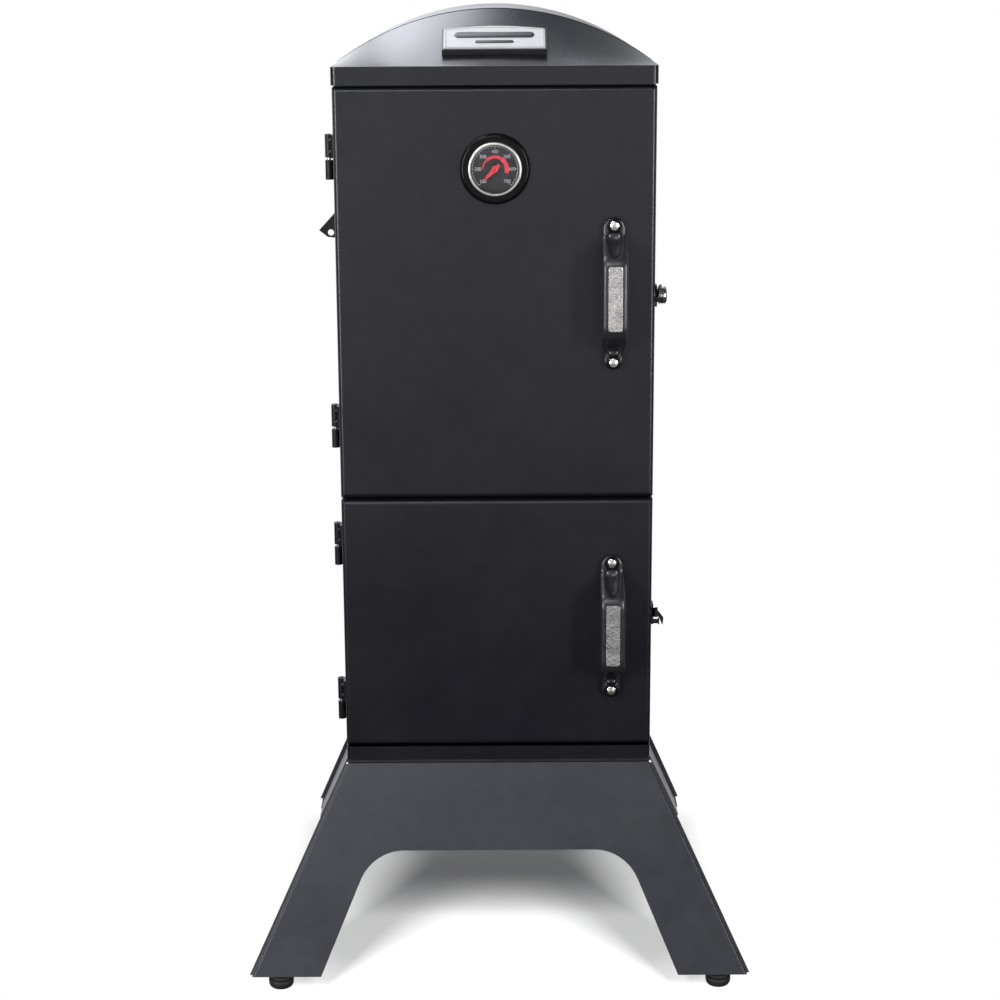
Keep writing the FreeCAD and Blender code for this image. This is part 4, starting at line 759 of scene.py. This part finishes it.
def strap_handle(door):
    """A cast strap with broad feet, a waisted grip and scooped legs."""
    low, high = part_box(f"{door}_door_handle")
    base = Vector(((low.x + high.x) / 2, high.y, (low.z + high.z) / 2))
    half = (high.z - low.z) / 2
    path = strap_path(half, high.y - low.y)
    verts = []
    for i, spot in enumerate(path):
        ahead = path[min(i + 1, len(path) - 1)]
        behind = path[max(i - 1, 0)]
        outer = Vector((1, 0, 0)).cross((ahead - behind).normalized()).normalized()
        if outer.y > 0:
            outer = -outer
        verts += [base + point for point in strap_section(spot, half, outer)]
    faces = grid_faces(len(path), STRAP_SIDES)
    faces.append(tuple(range(STRAP_SIDES)))
    faces.append(tuple(range((len(path) - 1) * STRAP_SIDES, len(path) * STRAP_SIDES)))
    made = piece(f"{door}_strap_handle", verts, faces, HANDLE, f"{door}_door", "handle_black")
    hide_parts(f"{door}_door_handle")


def handle_bolts(door):
    """A domed cap in a dark dished collar over each bolt of the handle."""
    low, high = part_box(f"{door}_door_handle")
    bolts_low, bolts_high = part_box(f"{door}_handle_bolts")
    caps, collars = [], []
    for height in (bolts_high.z - BOLT_INSET, bolts_low.z + BOLT_INSET):
        spot = Vector(((low.x + high.x) / 2, high.y - BOLT_SEAT, height))
        caps.append(lathed(in_metres(BOLT_CAP), spot, (0, -1, 0), BOLT_SIDES))
        collars.append(lathed(in_metres(BOLT_COLLAR), spot, (0, -1, 0), BOLT_SIDES))
    piece(f"{door}_bolt_caps", *gather(caps), SATIN, f"{door}_door", "chrome")
    piece(f"{door}_bolt_collars", *gather(collars), GLOSS, f"{door}_door", "hardware_black")


# ---- gaskets and feet -----------------------------------------------------------------

ROPE_HALF = 4.0 * MM
ROPE_BEND = 14 * MM
ROPE_BEND_STEPS = 8
ROPE_STEP = 4 * MM
ROPE_SIDES = 14
ROPE_SWELL = 0.06
ROPE_TWIST = 1.9


def rope_gasket(door):
    """A braided rope laid in a rounded loop and pressed flat."""
    node = f"{door}_door_gasket"
    low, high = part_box(node)
    half_thick = (high.y - low.y) / 2
    centre = (low + high) / 2
    reach_x = (high.x - low.x) / 2 - ROPE_HALF
    reach_z = (high.z - low.z) / 2 - ROPE_HALF
    loop = []
    for sign_x, sign_z, start in ((1, 1, 0), (-1, 1, 90), (-1, -1, 180), (1, -1, 270)):
        hub = Vector((sign_x * (reach_x - ROPE_BEND), 0, sign_z * (reach_z - ROPE_BEND)))
        for i in range(ROPE_BEND_STEPS + 1):
            angle = math.radians(start + 90 * i / ROPE_BEND_STEPS)
            loop.append(hub + Vector((math.cos(angle), 0, math.sin(angle))) * ROPE_BEND)
    path = []
    for start, end in zip(loop, loop[1:] + loop[:1]):
        count = max(1, int((end - start).length / ROPE_STEP))
        path += [start.lerp(end, i / count) for i in range(count)]
    verts = []
    for i, spot in enumerate(path):
        along = (path[(i + 1) % len(path)] - path[i - 1]).normalized()
        across = Vector((0, 1, 0)).cross(along)
        swell = 1 + ROPE_SWELL * math.sin(i * ROPE_TWIST)
        for k in range(ROPE_SIDES):
            angle = TURN * k / ROPE_SIDES
            shift = across * ROPE_HALF * swell * math.cos(angle)
            verts.append(centre + spot + shift + Vector((0, half_thick * math.sin(angle), 0)))
    faces = grid_faces(len(path), ROPE_SIDES, close_rows=True)
    made = piece(f"{door}_rope_gasket", verts, faces, ROPE, f"{door}_door", "gasket_rope")
    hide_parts(node)


# shares of the foot's radius and height: tread, two rings, shoulder and neck
FOOT_PROFILE = ((0.70, 0.00), (0.80, 0.015), (0.88, 0.06), (0.94, 0.13), (0.98, 0.22),
                (1.00, 0.34), (1.00, 0.46), (0.965, 0.48), (0.965, 0.52), (1.00, 0.54),
                (1.00, 0.68), (0.98, 0.75), (0.92, 0.79), (0.78, 0.80), (0.76, 0.83),
                (0.76, 1.00))
FOOT_SIDES = 56


def ribbed_foot(end, side):
    """A rubber foot: chamfered tread, two moulded rings, a domed shoulder and a neck."""
    node = f"foot_{end}_{side}"
    low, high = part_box(node)
    radius = (high.x - low.x) / 2
    tall = high.z - low.z
    centre = Vector(((low.x + high.x) / 2, (low.y + high.y) / 2, low.z))
    profile = [(radius * r, tall * z) for r, z in FOOT_PROFILE]
    shape = lathed(profile, centre, (0, 0, 1), FOOT_SIDES)
    made = piece(f"rubber_foot_{end}_{side}", *shape, RUBBER_AND_SHADE, "cabinet", "foot_rubber")
    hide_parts(node)


# ---- fasteners ------------------------------------------------------------------------

LEAF_TALL = {"frame": 24.5 * MM, "door": 29 * MM}
LEAF_THICK = 3 * MM
LEAF_SCREW_INSET = 6 * MM
LEAF_SCREW_RADIUS = 2.3 * MM
LEAF_SCREW_SHARES = (0.25, 0.75)


def hinge_screws():
    """Two small screws through each hinge leaf, on the door side and on the cabinet side."""
    for door in DOORS:
        for kind, body in (("frame", "cabinet"), ("door", f"{door}_door")):
            low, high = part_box(f"{door}_{kind}_hinge_leaves")
            tall = LEAF_TALL[kind]
            face = high.x - LEAF_THICK
            across = low.y + LEAF_SCREW_INSET if kind == "door" else high.y - LEAF_SCREW_INSET
            heads = []
            for bottom in (low.z, high.z - tall):
                for share in LEAF_SCREW_SHARES:
                    spot = Vector((face, across, bottom + tall * share))
                    heads.append(screw_head(spot, (-1, 0, 0), LEAF_SCREW_RADIUS))
            piece(f"{door}_{kind}_hinge_screws", *gather(heads), OXIDE, body, "hardware_black")


REAR_SCREW_ROWS = 6
REAR_SCREW_INSET = 12 * MM
REAR_SCREW_END = 30 * MM
REAR_SCREW_RADIUS = 4.0 * MM
ROOF_SCREWS_X = (-0.15, 0.0, 0.15)
ROOF_SCREW_RISE = 12 * MM
ROOF_SCREW_RADIUS = 3 * MM
SIDE_SCREWS_Y = (-0.133, 0.151)
SIDE_SCREWS_Z = (0.36, 0.62, 0.88, 1.10)
SIDE_SCREW_RADIUS = 2.6 * MM


def panel_screws():
    """Screws that hold the rear wall, the roof and the inner runner frames."""
    low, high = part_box("cabinet_shell")
    span = high.z - low.z - 2 * REAR_SCREW_END
    heads = []
    for i in range(REAR_SCREW_ROWS):
        z = low.z + REAR_SCREW_END + span * i / (REAR_SCREW_ROWS - 1)
        for x in (low.x + REAR_SCREW_INSET, high.x - REAR_SCREW_INSET):
            heads.append(screw_head(Vector((x, high.y, z)), (0, 1, 0), REAR_SCREW_RADIUS))
    roof_low, roof_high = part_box("roof_cap")
    for x in ROOF_SCREWS_X:
        spot = Vector((x, roof_high.y, roof_low.z + ROOF_SCREW_RISE))
        heads.append(screw_head(spot, (0, 1, 0), ROOF_SCREW_RADIUS))
    for y in SIDE_SCREWS_Y:
        for z in SIDE_SCREWS_Z:
            heads.append(screw_head(Vector((high.x, y, z)), (1, 0, 0), SIDE_SCREW_RADIUS))
            heads.append(screw_head(Vector((low.x, y, z)), (-1, 0, 0), SIDE_SCREW_RADIUS))
    piece("panel_screws", *gather(heads), OXIDE, "cabinet", "hardware_black")


# distances of the strip of painted shade behind the pan's front, below the pan, and past its
# sides
GAP_FRONT, GAP_BACK = 5.0 * MM, 5.8 * MM
GAP_LOW, GAP_TOP = 5.2 * MM, 0.1 * MM
GAP_PAST = 0.8 * MM


def gap_strip():
    """A black strip of painted shade that fills the recess between the base pan and the front
    panel.
    """
    pan_low, pan_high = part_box("base_pan")
    front, back = pan_low.y + GAP_FRONT, pan_low.y + GAP_BACK
    half = pan_high.x + GAP_PAST
    ring = ((-half, front), (half, front), (half, back), (-half, back))
    verts = [(x, y, z) for z in (pan_low.z - GAP_LOW, pan_low.z - GAP_TOP) for x, y in ring]
    faces = grid_faces(2, 4) + [(0, 1, 2, 3), (4, 5, 6, 7)]
    # painted shade: the dark rubber look stands for the shadow in the recess
    piece("base_gap_painted_shade", verts, faces, RUBBER_AND_SHADE, "cabinet", "hardware_black", smooth=False)


# ---- stage ----------------------------------------------------------------------------

FLOOR_HALF = 30.0
WHITE = (1.0, 1.0, 1.0)
PAPER = (0.88, 0.88, 0.88)
PAPER_ROUGH = 0.9
PAPER_SPECULAR = 0.1
MIRRORED_TINT = (0.95, 0.94, 1.0)
# spans for ranged(), over metres from the object or over Y as a share of that distance
PAPER_SHINE = (0.55, 2.6, 0.06, 0.9)
WHITE_FAR = (0.29, 0.43, 0.0, 1.0)
WHITE_ASIDE = (0.25, 0.31, 0.0, 1.0)
MIRRORED_AHEAD = (-0.55, -0.92, 0.30, 1.0)
MIRRORED_FAR = (1.2, 7.0, 0.05, 0.80)
MIRRORED_BEHIND = (0.2, 0.7, 0.0, 0.9)


def emission(tree, colour):
    node = tree.nodes.new("ShaderNodeEmission")
    node.inputs["Color"].default_value = (*colour, 1.0)
    return node


def mixed(tree, factor, first, second):
    node = tree.nodes.new("ShaderNodeMixShader")
    for socket, output in zip(node.inputs, (factor, first, second)):
        tree.links.new(output, socket)
    return node.outputs["Shader"]


def floor_look():
    """Pale paper: shaded close to the object, white farther out, and dimmer in reflections."""
    material = bpy.data.materials.new("studio_paper")
    material.use_nodes = True
    tree = material.node_tree
    paper = tree.nodes["Principled BSDF"]
    paper.inputs["Base Color"].default_value = (*PAPER, 1.0)
    paper.inputs["Roughness"].default_value = PAPER_ROUGH
    paper.inputs["Specular IOR Level"].default_value = PAPER_SPECULAR
    paper.inputs["Emission Color"].default_value = (*WHITE, 1.0)
    place = tree.nodes.new("ShaderNodeTexCoord").outputs["Object"]
    reach = tree.nodes.new("ShaderNodeVectorMath")
    reach.operation = "LENGTH"
    tree.links.new(place, reach.inputs[0])
    distance = reach.outputs["Value"]
    axes = tree.nodes.new("ShaderNodeSeparateXYZ")
    tree.links.new(place, axes.inputs["Vector"])
    heading = worked_out(tree, "DIVIDE", axes.outputs["Y"], distance)
    tree.links.new(ranged(tree, distance, PAPER_SHINE), paper.inputs["Emission Strength"])
    aside = worked_out(tree, "ABSOLUTE", axes.outputs["X"], 0.0)
    away = worked_out(tree, "MAXIMUM", ranged(tree, distance, WHITE_FAR),
                      ranged(tree, aside, WHITE_ASIDE))
    front = worked_out(tree, "MULTIPLY", ranged(tree, heading, MIRRORED_AHEAD),
                       ranged(tree, distance, MIRRORED_FAR))
    glow = emission(tree, MIRRORED_TINT)
    tree.links.new(worked_out(tree, "ADD", front, ranged(tree, heading, MIRRORED_BEHIND)),
                   glow.inputs["Strength"])
    white = emission(tree, WHITE)
    path = tree.nodes.new("ShaderNodeLightPath")
    clear = worked_out(tree, "MULTIPLY", path.outputs["Is Camera Ray"], away)
    bounced = worked_out(tree, "ADD", path.outputs["Is Glossy Ray"],
                         path.outputs["Is Diffuse Ray"])
    seen = mixed(tree, clear, paper.outputs["BSDF"], white.outputs["Emission"])
    tree.links.new(mixed(tree, bounced, seen, glow.outputs["Emission"]),
                   tree.nodes["Material Output"].inputs["Surface"])
    return material


ROOM_TINT = (0.93, 0.96, 1.0)
ROOM_PLAIN = 0.16
ROOM_LEAST = 0.05
# spans for ranged(), over the direction's steepness or its part along Y or X
HORIZON_LEVEL = (0.03, 0.42, 1.0, 0.0)
HORIZON_AHEAD = (-0.45, -0.92, 0.26, 0.70)
SKY_HIGH = (0.15, 0.95, 1.0, 0.9)
SKY_BEHIND = (0.15, 0.5, 0.0, 1.0)
SKY_LEFT = (0.15, -0.25, 0.45, 2.4)


def room():
    """White to the camera, dim to the object, with glows ahead and behind in reflections."""
    world = bpy.data.worlds.new("studio")
    scene.world = world
    world.use_nodes = True
    tree = world.node_tree
    dim = tree.nodes["Background"]
    dim.inputs["Color"].default_value = (*ROOM_TINT, 1.0)
    axes = tree.nodes.new("ShaderNodeSeparateXYZ")
    direction = tree.nodes.new("ShaderNodeTexCoord").outputs["Generated"]
    tree.links.new(direction, axes.inputs["Vector"])
    steep = worked_out(tree, "ABSOLUTE", axes.outputs["Z"], 0.0)
    ahead = worked_out(tree, "MULTIPLY", ranged(tree, steep, HORIZON_LEVEL),
                       ranged(tree, axes.outputs["Y"], HORIZON_AHEAD))
    behind = worked_out(tree, "MULTIPLY", ranged(tree, axes.outputs["Y"], SKY_BEHIND),
                        ranged(tree, axes.outputs["X"], SKY_LEFT))
    sky = worked_out(tree, "MULTIPLY", ranged(tree, steep, SKY_HIGH), behind)
    mirrored = worked_out(tree, "ADD", ahead, worked_out(tree, "ADD", sky, ROOM_LEAST))
    path = tree.nodes.new("ShaderNodeLightPath")
    glossy = path.outputs["Is Glossy Ray"]
    plain = worked_out(tree, "MULTIPLY", worked_out(tree, "SUBTRACT", 1.0, glossy), ROOM_PLAIN)
    shine = worked_out(tree, "MULTIPLY", glossy, mirrored)
    tree.links.new(worked_out(tree, "ADD", shine, plain), dim.inputs["Strength"])
    paper = tree.nodes.new("ShaderNodeBackground")
    paper.inputs["Color"].default_value = (*WHITE, 1.0)
    surface = mixed(tree, path.outputs["Is Camera Ray"], dim.outputs["Background"],
                    paper.outputs["Background"])
    tree.links.new(surface, tree.nodes["World Output"].inputs["Surface"])


def studio():
    """The floor, which is returned, and the room around it."""
    half = FLOOR_HALF
    floor = bpy.data.meshes.new("studio_floor")
    corners = [(-half, -half, 0), (half, -half, 0), (half, half, 0), (-half, half, 0)]
    floor.from_pydata(corners, [], [(0, 1, 2, 3)])
    ground = bpy.data.objects.new("studio_floor", floor)
    scene.collection.objects.link(ground)
    floor.materials.append(floor_look())
    room()
    return ground


# name, place, target, width, height, power and colour
OBJECT_LAMPS = (
    ("overhead", (-1.3, 0.55, 3.1), (-0.3, 0.1, 0.0), 3.0, 2.1, 140, (0.90, 0.92, 1.0)),
    ("front", (-0.5, -3.2, 3.3), (0, -0.2, 0.8), 1.6, 1.1, 34, (0.92, 0.95, 1.0)),
    ("left_strip", (-1.9, -2.6, 1.2), (0, -0.19, 0.8), 0.34, 2.0, 58, WHITE),
    ("right_strip", (2.0, -2.5, 1.2), (0, -0.19, 0.8), 0.34, 2.0, 50, WHITE))
PAPER_LAMPS = (
    ("floor_sweep_left", (-1.2, -2.8, 2.13), (0, 0, 0), 0.9, 1.0, 118, WHITE),
    ("floor_sweep_right", (1.2, -2.8, 2.13), (0, 0, 0), 0.9, 1.0, 118, WHITE))


def softbox(name, at, target, wide, tall, power, colour):
    """A rectangular lamp aimed at a point."""
    light = bpy.data.lights.new(name, "AREA")
    light.shape = "RECTANGLE"
    light.size = wide
    light.size_y = tall
    light.energy = power
    light.color = colour
    lamp = bpy.data.objects.new(name, light)
    lamp.location = at
    aim = Vector(target) - Vector(at)
    lamp.rotation_euler = aim.to_track_quat("-Z", "Y").to_euler()
    scene.collection.objects.link(lamp)
    return lamp


def lights(ground):
    """Softboxes on the object, and a pair that light only the paper."""
    lit_floor = bpy.data.collections.new("lit_floor")
    lit_object = bpy.data.collections.new("lit_object")
    for item in scene.objects:
        if item.type == "MESH" and item is not ground:
            lit_object.objects.link(item)
    lit_floor.objects.link(ground)
    for lamps, receivers in ((OBJECT_LAMPS, lit_object), (PAPER_LAMPS, lit_floor)):
        for lamp in lamps:
            softbox(*lamp).light_linking.receiver_collection = receivers


PITCH = math.radians(14.0)
ROLL = math.radians(0.32)
LENS = 79.0
SENSOR = 36.0
SHIFT_UP = 0.001
CAMERA_ASIDE = 0.004
CAMERA_BACK = 2.771
CAMERA_HIGH = 1.325


def camera():
    """The photograph's viewpoint, looking down at the front."""
    view = bpy.data.cameras.new("camera")
    view.lens = LENS
    view.sensor_width = SENSOR
    view.shift_y = SHIFT_UP
    eye = bpy.data.objects.new("camera", view)
    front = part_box("upper_door_skin")[0].y
    eye.location = (CAMERA_ASIDE, front - CAMERA_BACK, CAMERA_HIGH)
    tilt = Matrix.Rotation(math.radians(90) - PITCH, 4, "X")
    roll = Matrix.Rotation(-ROLL, 4, "Z")
    eye.rotation_euler = (tilt @ roll).to_euler()
    scene.collection.objects.link(eye)
    scene.camera = eye


def looks():
    """Everything that is seen of the object."""
    scene.view_settings.view_transform = "Standard"
    dress_nodes()
    crest_bead()
    badge_marks()
    dial_markings()
    pointer()
    for door in DOORS:
        strap_handle(door)
        handle_bolts(door)
        rope_gasket(door)
    for end in ("front", "rear"):
        for side in ("left", "right"):
            ribbed_foot(end, side)
    hinge_screws()
    panel_screws()
    gap_strip()


looks()
lights(studio())
camera()
